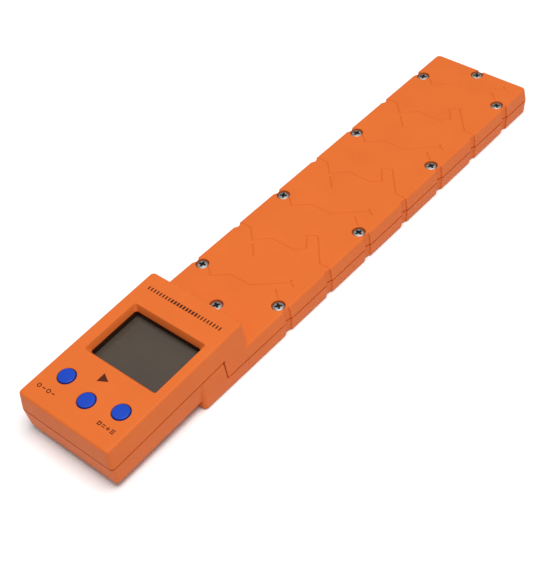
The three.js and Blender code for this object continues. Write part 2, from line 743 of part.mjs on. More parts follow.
const paneX = [WINDOW_X[0] - PANE_LAP, WINDOW_X[1] + PANE_LAP];
const paneY = [WINDOW_Y[0] - PANE_LAP, WINDOW_Y[1] + PANE_LAP];
piece(head, "display_window", slab(paneX, paneY, [paneTop - PANE_THICKNESS, paneTop], 1), GLASS);
piece(head, "lcd_panel", slab(paneX, paneY, [lcdTop - LCD_THICKNESS, lcdTop], 0.6), LCD_GREY);
[paneX[0] + 2.6, paneX[1] - 2.6].forEach((x, k) => {
  const strip = block(around(x, 0.9), around(-1.2, 27), [stripTop - STRIP_HEIGHT, stripTop]);
  piece(head, `contact_strip_${k + 1}`, strip, RUBBER);
});

piece(head, "main_board", board([-12, 60], 29, [mainBoardUnder, mainBoardTop], mainPosts), BOARD_GREEN);
piece(head, "key_board", board([-44, -6], 27.4, [keyBoardUnder, KEY_BOARD_TOP], keyPosts), BOARD_GREEN);
piece(head, "board_link", block([-11, -7], around(0, 12), [mainBoardTop + GAP, keyBoardUnder - GAP]), BLACK);

const boardScrew = geometryOf(screw({ headRadius: 2, headHeight: 1.4, shaftRadius: 0.95, length: 6.5 }));
[...keyPosts, ...mainPosts].forEach(([x, y], k) => {
  const under = k < keyPosts.length ? keyBoardUnder : mainBoardUnder;
  const mesh = piece(head, `board_screw_${k + 1}`, boardScrew, STEEL, [x, y, under - GAP]);
  mesh.rotation.x = Math.PI;
});

Object.entries(BUTTONS).forEach(([name, [x, y]]) => {
  piece(head, `button_${name}`, turned(buttonProfile, 22), BLUE, [x, y, 0]);
  piece(head, `switch_body_${name}`, switchBody(), BLACK, [x, y, 0]);
  const plunger = drum([0, 0], 1.6, [switchTop - 1.6, stemUnder - GAP]);
  piece(head, `switch_plunger_${name}`, plunger, WHITE, [x, y, 0]);
});

piece(head, "battery_door", batteryDoor(), ORANGE);
const cellZ = HEAD_UNDER + DOOR_THICKNESS + GAP + CELL_RADIUS;
const bayMiddle = (BAY_X[0] + BAY_X[1]) / 2;
const contactInner = BAY_HALF - GAP - CONTACT_THICKNESS;
const springLength = 2 * contactInner - CELL_LENGTH - 3 * GAP;
const contactHeight = around(cellZ, 4.6);
[-1, 1].forEach((row, k) => {
  const x = bayMiddle + row * (CELL_RADIUS + 0.25);
  const flip = row > 0;
  const cellStart = row * (CELL_LENGTH + GAP - contactInner);
  const cell = piece(head, `battery_${k + 1}`, dryCell(), CELL_SLEEVE, [x, cellStart, cellZ]);
  const spring = piece(head, `battery_spring_${k + 1}`, contactSpring(springLength), SPRING_STEEL, [
    x,
    row * (contactInner - GAP),
    cellZ,
  ]);
  if (flip) {
    cell.rotation.z = Math.PI;
    spring.rotation.z = Math.PI;
  }
});
const innerLeaf = [contactInner, contactInner + CONTACT_THICKNESS];
const outerLeaf = [-innerLeaf[1], -innerLeaf[0]];
piece(head, "contact_bridge", block([BAY_X[0] + 1, BAY_X[1] - 1], innerLeaf, contactHeight), SPRING_STEEL);
piece(head, "contact_front", block([BAY_X[0] + 1, bayMiddle - 0.5], outerLeaf, contactHeight), SPRING_STEEL);
piece(head, "contact_rear", block([bayMiddle + 0.5, BAY_X[1] - 1], outerLeaf, contactHeight), SPRING_STEEL);

piece(head, "buzzer", drum([6, -17], 4.5, [mainBoardUnder - GAP - 4, mainBoardUnder - GAP], 16), BLACK);
const plugX = 47;
const plugY = 15;
const plugUnder = mainBoardUnder - GAP - 5;
piece(head, "harness_plug", block(around(plugX, 4), around(plugY, 6), [plugUnder, plugUnder + 5]), WHITE);
const plugEnd = new THREE.Vector3(plugX, plugY, plugUnder - GAP).applyMatrix4(HEAD_MATRIX);
piece(beam, "harness", harness(plugEnd), BLACK);

// Stand the object on its foot strips with the middle of its plan at the origin.
const headFrontX = new THREE.Vector3(HEAD_FRONT, 0, 0).applyMatrix4(HEAD_MATRIX).x;
scale.position.set(-(headFrontX + BEAM_END) / 2, 0, BEAM_DEPTH + STRIP_PROUD);

export default scale;
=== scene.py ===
"""Looks of a portable wheel scale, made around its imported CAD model.

Shapes are made in millimetres. Beam coordinates have x = 0 at the first pair of cover screws and
z = 0 on the wheel platform. Head coordinates lie on the head's parting plane and tilt with it.
BEAM and HEAD place them in the object's own frame, in metres.
"""
import json
import math

import bpy
from mathutils import Matrix, Vector


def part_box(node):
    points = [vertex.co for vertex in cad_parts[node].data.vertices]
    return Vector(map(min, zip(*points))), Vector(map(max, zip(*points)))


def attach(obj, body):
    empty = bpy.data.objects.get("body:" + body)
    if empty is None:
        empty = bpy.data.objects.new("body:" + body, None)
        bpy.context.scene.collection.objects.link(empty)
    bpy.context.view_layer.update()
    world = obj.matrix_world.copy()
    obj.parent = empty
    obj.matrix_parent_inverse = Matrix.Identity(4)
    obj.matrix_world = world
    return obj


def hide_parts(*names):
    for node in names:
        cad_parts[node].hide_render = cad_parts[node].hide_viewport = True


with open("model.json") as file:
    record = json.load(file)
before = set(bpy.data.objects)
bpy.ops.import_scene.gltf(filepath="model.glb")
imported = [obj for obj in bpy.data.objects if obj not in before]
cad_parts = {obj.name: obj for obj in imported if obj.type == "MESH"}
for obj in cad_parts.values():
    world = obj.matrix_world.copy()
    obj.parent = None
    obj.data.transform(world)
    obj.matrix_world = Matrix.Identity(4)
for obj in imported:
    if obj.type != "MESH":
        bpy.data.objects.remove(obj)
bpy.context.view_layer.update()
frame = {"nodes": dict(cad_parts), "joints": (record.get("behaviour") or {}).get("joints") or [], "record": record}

# ===== The frame: coordinate systems and what the CAD nodes measure in them =====
MM = 0.001
NODES = frame["nodes"]
MOUNTS = {mount["name"]: mount for mount in frame["record"]["mounts"]}
JOINTS = {joint["name"]: joint for joint in frame["joints"]}

HEAD_PLACE = Vector((-105, 0, 1.2))
HEAD_TILT = math.asin(JOINTS["power_press"]["axis"][0])

first_screw_low, first_screw_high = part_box("cover_screw_1")
BEAM_ORIGIN = Vector(((first_screw_low.x + first_screw_high.x) / 2, 0, MOUNTS["wheel_platform"]["pos_m"][2]))
BEAM = Matrix.Translation(BEAM_ORIGIN) @ Matrix.Scale(MM, 4)
HEAD_IN_BEAM = Matrix.Translation(HEAD_PLACE) @ Matrix.Rotation(-HEAD_TILT, 4, "Y")
HEAD = BEAM @ HEAD_IN_BEAM


def span(node, space):
    """Lowest and highest corner of a CAD node along a coordinate system's own axes, in millimetres."""
    inverse = space.inverted()
    points = [inverse @ vertex.co for vertex in NODES[node].data.vertices]
    low = Vector([min(point[axis] for point in points) for axis in range(3)])
    high = Vector([max(point[axis] for point in points) for axis in range(3)])
    return low, high


def middle(node, space):
    low, high = span(node, space)
    return (low + high) / 2


# ===== Driving dimensions, in millimetres =====
SCREW_PITCH = 83
COVER_SCREWS = [f"cover_screw_{k}" for k in range(1, 11)]
HEAD_SCREWS = [f"head_screw_{k}" for k in range(1, 5)]
BUTTONS = ["power", "zero", "total"]

BEAM_HALF = 40
BEAM_END = 279.6
BEAM_DEPTH = 20.8
PARTING_Z = -10.2
RIM_DRAFT = 1
FOOT_DRAFT = 0.6
CORNER_RADIUS = 2.8
RIM_ROUND = 1.7
FOOT_ROUND = 1.2
NOTCH_PROFILE = [(-3.1, 0, 0.4), (-0.5, 1.6, 0.4), (3, 0.9, 0.15), (3.25, 0, 0.15)]
NOTCH_COUNT = 7
TIP_NOTCH_DEPTH = 1.3
TIP_NOTCH_HALF_FLAT = 1.8
TIP_NOTCH_HALF_MOUTH = 4.2
TIP_NOTCH_SOFTNESS = 0.45

SHOULDER_START = -79.5
SHOULDER_END = -38.6
SHOULDER_LAP = 2
SHOULDER_RISE = 9
SHOULDER_DRAFT = 1.75

HEAD_FRONT = -48.4
HEAD_BACK = 68.8
HEAD_HALF = 38.8
HEAD_TOP = 15.3
HEAD_UNDER = -15.45
HEAD_RIM_DRAFT = 1.2
HEAD_FOOT_DRAFT = 1
HEAD_CORNER_RADIUS = 2.6

JOG_TOP_X = -58
JOG_FOOT_X = -57.7
SEAM = 1
LIP_INSET = 1.3
LIP_HEIGHT = 0.9
BEYOND = 60

TOP_WALL = 3
FLOOR_WALL = 3.1
HEAD_WALL = 2.6
BEAM_CAVITY_HALF = 36.4
BEAM_CAVITY_X = (-76.6, 276.8)
HEAD_CAVITY_HALF = 35.6
HEAD_CAVITY_X = (-45.6, 66.1)
WALL_LAP = 0.4

COUNTERBORE_RADIUS = 4.55
COUNTERBORE_DEPTH = 2.9
SHAFT_HOLE = 2.1
UPPER_BOSS_RADIUS = 5.2
LOWER_BOSS_RADIUS = 4.6
HEAD_BOSS_RADIUS = 4
HEAD_RECESS_RADIUS = 3.2
HEAD_SCREW_SEAT = -7.5
HEAD_SHAFT_HOLE = 1.7
POST_RADIUS = 2.4
POST_SHAFT_HOLE = 1.25
MOUTH = 0.35

WINDOW_X = (-0.9, 42.9)
WINDOW_Y = (-30.6, 28.2)
WINDOW_DEPTH = 7.2
WINDOW_SLOPE_DEPTH = 4
WINDOW_SLOPE_RUN = 2
WINDOW_CORNER = 1.6
WINDOW_MOUTH = 0.5
SHROUD_WALL = 2.2
SHROUD_CORNER = 1.5
BUTTON_RADIUS = 5.5
BUTTON_CLEARANCE = 0.6

BAY_X = (-39.3, -16.8)
BAY_Y = (-26.9, 26.9)
BAY_ROOF = -2
BAY_WALL = 1.5

GROOVE_HALF_WIDTH = 0.5
GROOVE_HALF_FLOOR = 0.12
GROOVE_DEPTH = 0.45
GROOVE_ABOVE = 0.3
JOG_DOT_RADIUS = 1.1
GAP = 0.3

ROUND_STEPS = 6
ARC_STEPS = 6
SOFT_ARC_STEPS = 2
MOUTH_STEPS = 4
TURNED_OVER = Matrix.Rotation(math.pi, 4, "X")

# ===== Mesh helpers =====


def make(name, vertices, faces):
    mesh = bpy.data.meshes.new(name)
    mesh.from_pydata([tuple(vertex) for vertex in vertices], [], faces)
    piece = bpy.data.objects.new(name, mesh)
    bpy.context.scene.collection.objects.link(piece)
    return piece


def moved(piece, matrix):
    piece.data.transform(matrix)
    return piece


def baked(piece):
    """The piece with its modifiers applied to its mesh."""
    depsgraph = bpy.context.evaluated_depsgraph_get()
    evaluated = piece.evaluated_get(depsgraph)
    mesh = bpy.data.meshes.new_from_object(evaluated, preserve_all_data_layers=True, depsgraph=depsgraph)
    old = piece.data
    piece.modifiers.clear()
    piece.data = mesh
    bpy.data.meshes.remove(old)
    return piece


def combine(base, tools, operation):
    for tool in tools:
        modifier = base.modifiers.new("combine", "BOOLEAN")
        modifier.object = tool
        modifier.operation = operation
        modifier.solver = "MANIFOLD"
    baked(base)
    for tool in tools:
        bpy.data.objects.remove(tool)
    return base


def join(base, *tools):
    return combine(base, tools, "UNION")


def cut(base, *tools):
    return combine(base, tools, "DIFFERENCE")


def keep_inside(base, tool):
    return combine(base, [tool], "INTERSECT")


def rounded(corners, steps=ARC_STEPS):
    """A plan outline from (x, y, radius) corners: each corner becomes an arc, or stays sharp at radius 0."""
    outline = []
    count = len(corners)
    for index, (x, y, radius) in enumerate(corners):
        corner = Vector((x, y))
        if radius == 0:
            outline.append(corner)
            continue
        back = Vector(corners[index - 1][:2]) - corner
        ahead = Vector(corners[(index + 1) % count][:2]) - corner
        opening = back.angle(ahead)
        reach = radius / math.tan(opening / 2)
        start = corner + back.normalized() * reach
        end = corner + ahead.normalized() * reach
        inward = (back.normalized() + ahead.normalized()).normalized()
        centre = corner + inward * (radius / math.sin(opening / 2))
        arm = start - centre
        turn = arm.angle_signed(end - centre)
        for step in range(steps + 1):
            angle = -turn * step / steps
            outline.append(centre + Matrix.Rotation(angle, 2) @ arm)
    return outline


def grown(reach, margin):
    """A (low, high) pair made longer at both ends, or shorter where the margin is negative."""
    return reach[0] - margin, reach[1] + margin


def rectangle(x, y, radius):
    return [(x[0], y[0], radius), (x[1], y[0], radius), (x[1], y[1], radius), (x[0], y[1], radius)]


def walls(size, sections):
    """Quads between neighbouring sections, each a closed ring with the given number of points."""
    faces = []
    for start in range(0, size * (sections - 1), size):
        for k in range(size):
            a = start + k
            b = start + (k + 1) % size
            faces.append((a, b, b + size, a + size))
    return faces


def ends(size, sections):
    """The two faces that close a row of sections."""
    last = size * (sections - 1)
    return tuple(reversed(range(size))), tuple(range(last, last + size))


def loft(name, levels):
    """A closed body through outlines of equal numbers of points; levels are (z, outline), lowest first."""
    size = len(levels[0][1])
    vertices = [(point[0], point[1], z) for z, outline in levels for point in outline]
    foot, top = ends(size, len(levels))
    return make(name, vertices, [foot, *walls(size, len(levels)), top])


def slab(name, x, y, z, radius=0.5, steps=ARC_STEPS):
    outline = rounded(rectangle(x, y, radius), steps)
    return loft(name, [(z[0], outline), (z[1], outline)])


def quarter(steps):
    """Angles of a quarter turn, both ends included."""
    return [math.pi / 2 * step / steps for step in range(steps + 1)]


def foot_arc(foot, radius, steps):
    """(z, inset) pairs up the rounded edge that starts at the foot."""
    return [(foot + radius * (1 - math.cos(turn)), radius * (1 - math.sin(turn))) for turn in quarter(steps)]


def rim_arc(rim, radius, steps):
    """(z, inset) pairs up the rounded edge that ends at the rim."""
    return [(rim - radius * (1 - math.sin(turn)), radius * (1 - math.cos(turn))) for turn in quarter(steps)]


def box_loft(name, x, y, levels, steps=ARC_STEPS):
    """A body with rounded rectangular plans; levels are (z, inset, corner radius), from the lowest up."""
    outlines = []
    for z, inset, radius in levels:
        plan = rectangle(grown(x, -inset), grown(y, -inset), radius)
        outlines.append((z, rounded(plan, steps)))
    return loft(name, outlines)


def soft_slab(name, x, y, z, radius, edge):
    """A slab whose upper and lower edges are rounded too."""
    levels = foot_arc(z[0], edge, 3) + rim_arc(z[1], edge, 3)
    return box_loft(name, x, y, [(height, inset, radius) for height, inset in levels])


def turned(name, profile, segments=48):
    """A body of revolution about Z from (radius, z) pairs listed upwards; radius 0 is a pole."""
    vertices = []
    rings = []
    for radius, z in profile:
        if radius == 0:
            rings.append([len(vertices)] * segments)
            vertices.append((0, 0, z))
            continue
        rings.append(list(range(len(vertices), len(vertices) + segments)))
        for k in range(segments):
            angle = 2 * math.pi * k / segments
            vertices.append((radius * math.cos(angle), radius * math.sin(angle), z))
    faces = []
    for low, high in zip(rings, rings[1:]):
        for k in range(segments):
            j = (k + 1) % segments
            corners = [low[k], low[j], high[j], high[k]]
            faces.append(tuple(dict.fromkeys(corners)))
    return make(name, vertices, faces)


def drum(name, x, y, radius, z, segments=32):
    piece = turned(name, [(0, z[0]), (radius, z[0]), (radius, z[1]), (0, z[1])], segments)
    return moved(piece, Matrix.Translation((x, y, 0)))


def drums(places, radius, z, segments=32):
    return [drum("drum", place.x, place.y, radius, z, segments) for place in places]


def bore(x, y, radius, z, segments=48):
    """A round cutter from z[0] up to the face at z[1], where the hole's edge is rounded."""
    profile = [(0, z[0]), (radius, z[0])]
    profile += [(radius + growth, height) for height, growth in rim_arc(z[1], MOUTH, MOUTH_STEPS)]
    profile += [(radius + MOUTH, z[1] + 1), (0, z[1] + 1)]
    return moved(turned("bore", profile, segments), Matrix.Translation((x, y, 0)))


def bore_from_below(x, y, radius, z):
    """The same cutter turned over, with its mouth in the face at z[0]."""
    piece = bore(0, 0, radius, (-z[1], -z[0]), 40)
    return moved(piece, Matrix.Translation((x, y, 0)) @ TURNED_OVER)


def pocket(x, y, radius, z, mouth, steps=ARC_STEPS):
    """A cutter with a rounded rectangular plan, from z[0] up to the face at z[1], with a rounded mouth."""
    levels = [(z[0], 0), *rim_arc(z[1], mouth, MOUTH_STEPS), (z[1] + 1, mouth)]
    return box_loft("pocket", x, y, [(height, -growth, radius + growth) for height, growth in levels], steps)


def side_prism(name, points, half_width):
    """A profile in X and Z, clockwise seen from -Y, stretched across the beam."""
    count = len(points)
    vertices = [(x, -half_width, z) for x, z in points] + [(x, half_width, z) for x, z in points]
    faces = [tuple(range(count)), tuple(reversed(range(count, 2 * count)))]
    for k in range(count):
        j = (k + 1) % count
        faces.append((j, k, k + count, j + count))
    return make(name, vertices, faces)


def shaded(piece, sharp_degrees=32):
    """Smooth shading that keeps true edges crisp and flat faces flat."""
    mesh = piece.data
    mesh.polygons.foreach_set("use_smooth", [True] * len(mesh.polygons))
    mesh.set_sharp_from_angle(angle=math.radians(sharp_degrees))
    modifier = piece.modifiers.new("face_normals", "WEIGHTED_NORMAL")
    modifier.keep_sharp = True
    modifier.weight = 100
    return baked(piece)


def finished(piece, space, body, slot, material, *replaced, sharp_degrees=32):
    """Places a piece in the object's frame and gives it its body and material; the slot argument is not used."""
    moved(piece, space)
    shaded(piece, sharp_degrees)
    piece.data.materials.clear()
    piece.data.materials.append(material)
    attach(piece, body)
    if replaced:
        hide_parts(*replaced)
    return piece


def paint(piece, to_local, rule, *materials):
    """Adds materials; the rule turns a face's middle, in local millimetres, into its material's index."""
    for material in materials:
        piece.data.materials.append(material)
    for face in piece.data.polygons:
        face.material_index = rule(to_local @ face.center)


def in_head(*pieces):
    """Pieces made in head coordinates, moved to beam coordinates."""
    return [moved(piece, HEAD_IN_BEAM) for piece in pieces]


# ===== Camera =====
VIEW_FROM = Vector((-0.43986, -0.39939, 0.56583))
VIEW_AZIMUTH = math.radians(-45.114)
VIEW_ELEVATION = math.radians(44.952)
VIEW_ROLL = math.radians(-6.566)
LENS = 81.71
SENSOR = 36


def make_camera():
    data = bpy.data.cameras.new("camera")
    data.lens = LENS
    data.sensor_width = SENSOR
    data.sensor_fit = "HORIZONTAL"
    data.clip_start = 0.01
    camera = bpy.data.objects.new("camera", data)
    turn = Matrix.Rotation(VIEW_AZIMUTH, 4, "Z")
    lean = Matrix.Rotation(math.pi / 2 - VIEW_ELEVATION, 4, "X")
    roll = Matrix.Rotation(VIEW_ROLL, 4, "Z")
    camera.matrix_world = Matrix.Translation(VIEW_FROM) @ turn @ lean @ roll
    bpy.context.scene.collection.objects.link(camera)
    bpy.context.scene.camera = camera


make_camera()

# ===== Materials =====


class Finish:
    """A Principled material, with short calls for the procedural detail wired into it."""

    def __init__(self, name, **constants):
        self.material = bpy.data.materials.new(name)
        self.material.use_nodes = True
        self.tree = self.material.node_tree
        self.shader = self.tree.nodes["Principled BSDF"]
        for socket, value in constants.items():
            self.shader.inputs[socket.replace("_", " ")].default_value = value
        self.place = self.tree.nodes.new("ShaderNodeTexCoord")

    def node(self, kind, **settings):
        node = self.tree.nodes.new(kind)
        for name, value in settings.items():
            setattr(node, name, value)
        return node

    def link(self, source, target):
        self.tree.links.new(source, target)

    def coordinates(self, stretch=(1, 1, 1), shift=(0, 0, 0), source="Object"):
        mapping = self.node("ShaderNodeMapping")
        mapping.inputs["Scale"].default_value = stretch
        mapping.inputs["Location"].default_value = shift
        self.link(self.place.outputs[source], mapping.inputs["Vector"])
        return mapping.outputs["Vector"]

    def noise(self, size_mm, detail=2.0, stretch=(1, 1, 1), source="Object"):
        """Noise with features of about the given size."""
        noise = self.node("ShaderNodeTexNoise")
        noise.inputs["Scale"].default_value = 1 / (size_mm * MM)
        noise.inputs["Detail"].default_value = detail
        self.link(self.coordinates(stretch, source=source), noise.inputs["Vector"])
        return noise.outputs["Fac"]

    def spread(self, value, low, high, start=0.3, end=0.7):
        """A value between start and end, stretched over low to high."""
        spread = self.node("ShaderNodeMapRange")
        spread.inputs["From Min"].default_value = start
        spread.inputs["From Max"].default_value = end
        spread.inputs["To Min"].default_value = low
        spread.inputs["To Max"].default_value = high
        self.link(value, spread.inputs["Value"])
        return spread.outputs["Result"]

    def mix(self, factor, first, second):
        """Two colours, or colour outputs, mixed by a factor."""
        mix = self.node("ShaderNodeMix", data_type="RGBA")
        self.link(factor, mix.inputs["Factor"])
        for socket, colour in ((mix.inputs[6], first), (mix.inputs[7], second)):
            if isinstance(colour, tuple):
                socket.default_value = (*colour, 1)
            else:
                self.link(colour, socket)
        return mix.outputs[2]

    def math(self, operation, first, second):
        node = self.node("ShaderNodeMath", operation=operation)
        for socket, value in zip(node.inputs, (first, second)):
            if isinstance(value, (int, float)):
                socket.default_value = value
            else:
                self.link(value, socket)
        return node.outputs["Value"]

    def colour(self, output):
        self.link(output, self.shader.inputs["Base Color"])

    def roughness(self, output):
        self.link(output, self.shader.inputs["Roughness"])

    def bump(self, *layers):
        """Layers are (height output, depth in millimetres)."""
        normal = None
        for height, depth_mm in layers:
            bump = self.node("ShaderNodeBump")
            bump.inputs["Strength"].default_value = 1
            bump.inputs["Distance"].default_value = depth_mm * MM
            self.link(height, bump.inputs["Height"])
            if normal:
                self.link(normal, bump.inputs["Normal"])
            normal = bump.outputs["Normal"]
        self.link(normal, self.shader.inputs["Normal"])


def linear(red, green, blue):
    """A screen colour, 0 to 255, as a linear one."""
    def channel(value):
        share = value / 255
        return share / 12.92 if share <= 0.04045 else ((share + 0.055) / 1.055) ** 2.4
    return channel(red), channel(green), channel(blue)


def moulded_plastic(name, colour, deep, base_roughness, grain_mm, grain_depth_mm, **constants):
    """Moulded plastic: spark-eroded grain, slow colour drift, faint rubbed streaks."""
    finish = Finish(name, **constants)
    drift = finish.spread(finish.noise(24, 3), 0, 1)
    speck = finish.spread(finish.noise(1.1, 2), 0, 0.35)
    shade = finish.math("MULTIPLY_ADD", drift, 0.5)
    finish.link(speck, shade.node.inputs[2])
    finish.colour(finish.mix(shade, colour, deep))
    rubbed = finish.spread(finish.noise(5, 4, (0.25, 1, 1)), 0, 1, 0.55, 0.75)
    fine = finish.spread(finish.noise(0.5, 2), -0.05, 0.05)
    worn = finish.math("MULTIPLY_ADD", rubbed, -0.07)
    finish.link(fine, worn.node.inputs[2])
    finish.roughness(finish.math("ADD", worn, base_roughness))
    finish.bump((finish.noise(grain_mm, 3), grain_depth_mm), (finish.noise(9, 1), 0.02))
    return finish.material


def brushed_metal(name, colour, deep, base_roughness, direction, line_mm, depth_mm, **constants):
    """Metal with fine lines along one direction; direction is the stretch of the noise."""
    finish = Finish(name, Metallic=1.0, **constants)
    lines = finish.noise(line_mm, 2, direction)
    cloud = finish.spread(finish.noise(9, 3), 0, 1)
    finish.colour(finish.mix(cloud, colour, deep))
    worn = finish.spread(lines, -0.06, 0.08)
    finish.roughness(finish.math("ADD", worn, base_roughness))
    finish.bump((lines, depth_mm), (finish.noise(0.8, 2), depth_mm / 2))
    return finish.material


def turned_metal(name, colour, deep, base_roughness):
    """A turned or headed screw: rings about its own axis, darker where plating dulls."""
    finish = Finish(name, Metallic=1.0)
    rings = finish.node("ShaderNodeTexWave", wave_type="RINGS", rings_direction="Z")
    rings.inputs["Scale"].default_value = 14
    rings.inputs["Distortion"].default_value = 1.5
    rings.inputs["Detail"].default_value = 2
    finish.link(finish.coordinates(shift=(-0.5, -0.5, 0), source="Generated"), rings.inputs["Vector"])
    cloud = finish.spread(finish.noise(1.6, 3), 0, 1)
    finish.colour(finish.mix(cloud, colour, deep))
    dull = finish.spread(finish.noise(0.7, 3), -0.05, 0.12)
    finish.roughness(finish.math("ADD", dull, base_roughness))
    finish.bump((rings.outputs["Fac"], 0.006), (finish.noise(0.35, 2), 0.006))
    return finish.material


def rubber_finish(name, colour, deep, base_roughness, grain_mm):
    finish = Finish(name, Specular_IOR_Level=0.35)
    dust = finish.spread(finish.noise(14, 4), 0, 1, 0.4, 0.8)
    finish.colour(finish.mix(dust, colour, deep))
    finish.roughness(finish.math("ADD", finish.spread(finish.noise(2, 3), -0.08, 0.08), base_roughness))
    finish.bump((finish.noise(grain_mm, 3), 0.03), (finish.noise(3, 2), 0.03))
    return finish.material


def circuit_board(name):
    """Solder mask over tracks: the tracks stand a little proud and look lighter."""
    finish = Finish(name, Coat_Weight=0.3, Coat_Roughness=0.2)
    tracks = finish.node("ShaderNodeTexBrick", offset=0.37, squash=0.6)
    tracks.inputs["Scale"].default_value = 110
    tracks.inputs["Mortar Size"].default_value = 0.05
    tracks.inputs["Color1"].default_value = (0.0, 0.0, 0.0, 1)
    tracks.inputs["Color2"].default_value = (0.25, 0.25, 0.25, 1)
    tracks.inputs["Mortar"].default_value = (1, 1, 1, 1)
    finish.link(finish.coordinates(), tracks.inputs["Vector"])
    grey = finish.node("ShaderNodeRGBToBW")
    finish.link(tracks.outputs["Color"], grey.inputs["Color"])
    finish.colour(finish.mix(grey.outputs["Val"], (0.008, 0.06, 0.024), (0.03, 0.17, 0.07)))
    finish.roughness(finish.spread(finish.noise(1.5, 3), 0.32, 0.46))
    finish.bump((grey.outputs["Val"], 0.03), (finish.noise(0.3, 2), 0.005))
    return finish.material


def screen_glass(name):
    """A clear acrylic pane with a faint smoky tint and a few wiped smears."""
    finish = Finish(name, Alpha=0.16, IOR=1.49)
    smear = finish.spread(finish.noise(11, 3, (1, 0.3, 1)), 0.03, 0.09)
    finish.roughness(smear)
    drift = finish.spread(finish.noise(20, 2), 0, 1)
    finish.colour(finish.mix(drift, (0.05, 0.045, 0.035), (0.07, 0.06, 0.045)))
    finish.bump((finish.noise(16, 1), 0.01), (finish.noise(0.5, 1), 0.0004))
    return finish.material


def display_glass(name):
    """An unlit reflective display: grey-olive layer that pales and yellows a little from place to place."""
    finish = Finish(name, Coat_Weight=1.0, Coat_Roughness=0.06, Coat_IOR=1.75)
    drift = finish.spread(finish.noise(30, 2), 0, 1)
    grain = finish.spread(finish.noise(0.25, 2), 0, 0.25)
    shade = finish.math("MULTIPLY_ADD", drift, 0.6)
    finish.link(grain, shade.node.inputs[2])
    finish.colour(finish.mix(shade, (0.1, 0.068, 0.046), (0.088, 0.06, 0.04)))
    finish.roughness(finish.spread(finish.noise(0.3, 2), 0.42, 0.52))
    finish.bump((finish.noise(0.2, 2), 0.0012))
    return finish.material


SHELL_PLASTIC = moulded_plastic(
    "orange_plastic", linear(219, 108, 43), linear(212, 102, 39), 0.56, 0.45, 0.012, Specular_IOR_Level=0.2
)
BUTTON_BLUE = moulded_plastic(
    "blue_plastic", linear(12, 66, 184), linear(9, 60, 172), 0.44, 0.3, 0.008, Specular_IOR_Level=0.32
)
BLACK_PLASTIC = moulded_plastic("black_plastic", (0.018, 0.018, 0.02), (0.026, 0.026, 0.028), 0.5, 0.3, 0.01)
WHITE_PLASTIC = moulded_plastic("white_plastic", (0.74, 0.72, 0.66), (0.68, 0.65, 0.58), 0.45, 0.4, 0.01)
INK = moulded_plastic(
    "brown_ink", linear(74, 28, 12), linear(88, 36, 16), 0.6, 0.25, 0.006, Specular_IOR_Level=0.15
)
# Dark red-brown painted shade for the window's straight lower walls, which stand in deep shadow
WINDOW_WALL_SHADE = moulded_plastic(
    "window_wall_shade", (0.034, 0.009, 0.003), (0.045, 0.012, 0.004), 0.6, 0.3, 0.01, Specular_IOR_Level=0.12
)
SCREW_STEEL = turned_metal("screw_steel", (0.46, 0.455, 0.44), (0.34, 0.335, 0.32), 0.55)
PLATE_STEEL = brushed_metal(
    "plate_steel", (0.36, 0.37, 0.39), (0.27, 0.28, 0.3), 0.38, (0.03, 1, 1), 0.5, 0.01
)
CELL_METAL = brushed_metal(
    "milled_aluminium", (0.72, 0.73, 0.74), (0.62, 0.63, 0.65), 0.32, (1, 0.05, 1), 0.4, 0.008
)
CONTACT_METAL = brushed_metal(
    "spring_metal", (0.66, 0.64, 0.58), (0.52, 0.5, 0.44), 0.24, (1, 0.2, 1), 0.3, 0.004
)
SLEEVE = moulded_plastic("cell_sleeve", (0.03, 0.05, 0.085), (0.045, 0.07, 0.11), 0.3, 0.6, 0.004)
SLEEVE_BAND = brushed_metal("cell_band", (0.62, 0.36, 0.14), (0.52, 0.3, 0.12), 0.3, (1, 0.1, 1), 0.4, 0.004)
RUBBER = rubber_finish("foot_rubber", (0.022, 0.022, 0.022), (0.05, 0.048, 0.045), 0.72, 0.35)
CABLE_JACKET = rubber_finish("cable_jacket", (0.02, 0.02, 0.02), (0.03, 0.03, 0.03), 0.5, 0.2)
BOARD = circuit_board("solder_mask")
# Near-black painted shade for the hollow of the screws' cross recesses
CROSS_SHADE = rubber_finish("recess_painted_shade", (0.012, 0.011, 0.01), (0.025, 0.022, 0.02), 0.7, 0.3)
PANE = screen_glass("acrylic_pane")
DISPLAY = display_glass("display_layer")

# ===== Outer form of the two shells =====


def notch(x, y, side):
    """One recess in a long side; side is 1 at -Y, and -1 at +Y, where the outline runs the other way."""
    corners = [(x + along, y + side * depth, softness) for along, depth, softness in NOTCH_PROFILE]
    return corners if side > 0 else corners[::-1]


def beam_outline(draft, rounding):
    half = BEAM_HALF - draft - rounding
    end = BEAM_END - draft - rounding
    notch_x = [k * SCREW_PITCH / 2 for k in range(NOTCH_COUNT)]
    near = [(SHOULDER_END, -half, 0)] + [corner for x in notch_x for corner in notch(x, -half, 1)]
    far = [corner for x in reversed(notch_x) for corner in notch(x, half, -1)] + [(SHOULDER_END, half, 0)]
    tip = [
        (end, -TIP_NOTCH_HALF_MOUTH, TIP_NOTCH_SOFTNESS),
        (end - TIP_NOTCH_DEPTH, -TIP_NOTCH_HALF_FLAT, TIP_NOTCH_SOFTNESS),
        (end - TIP_NOTCH_DEPTH, TIP_NOTCH_HALF_FLAT, TIP_NOTCH_SOFTNESS),
        (end, TIP_NOTCH_HALF_MOUTH, TIP_NOTCH_SOFTNESS),
    ]
    outline = rounded(near, SOFT_ARC_STEPS)
    outline += rounded_corner((end, -half), near[-1], tip[0])
    outline += rounded(tip, SOFT_ARC_STEPS)
    outline += rounded_corner((end, half), tip[-1], far[0])
    outline += rounded(far, SOFT_ARC_STEPS)
    return outline


def rounded_corner(corner, before, after):
    """One corner of the beam's end as an arc."""
    arc = rounded([(*before[:2], 0), (*corner, CORNER_RADIUS), (*after[:2], 0)], ARC_STEPS)
    return arc[1:-1]


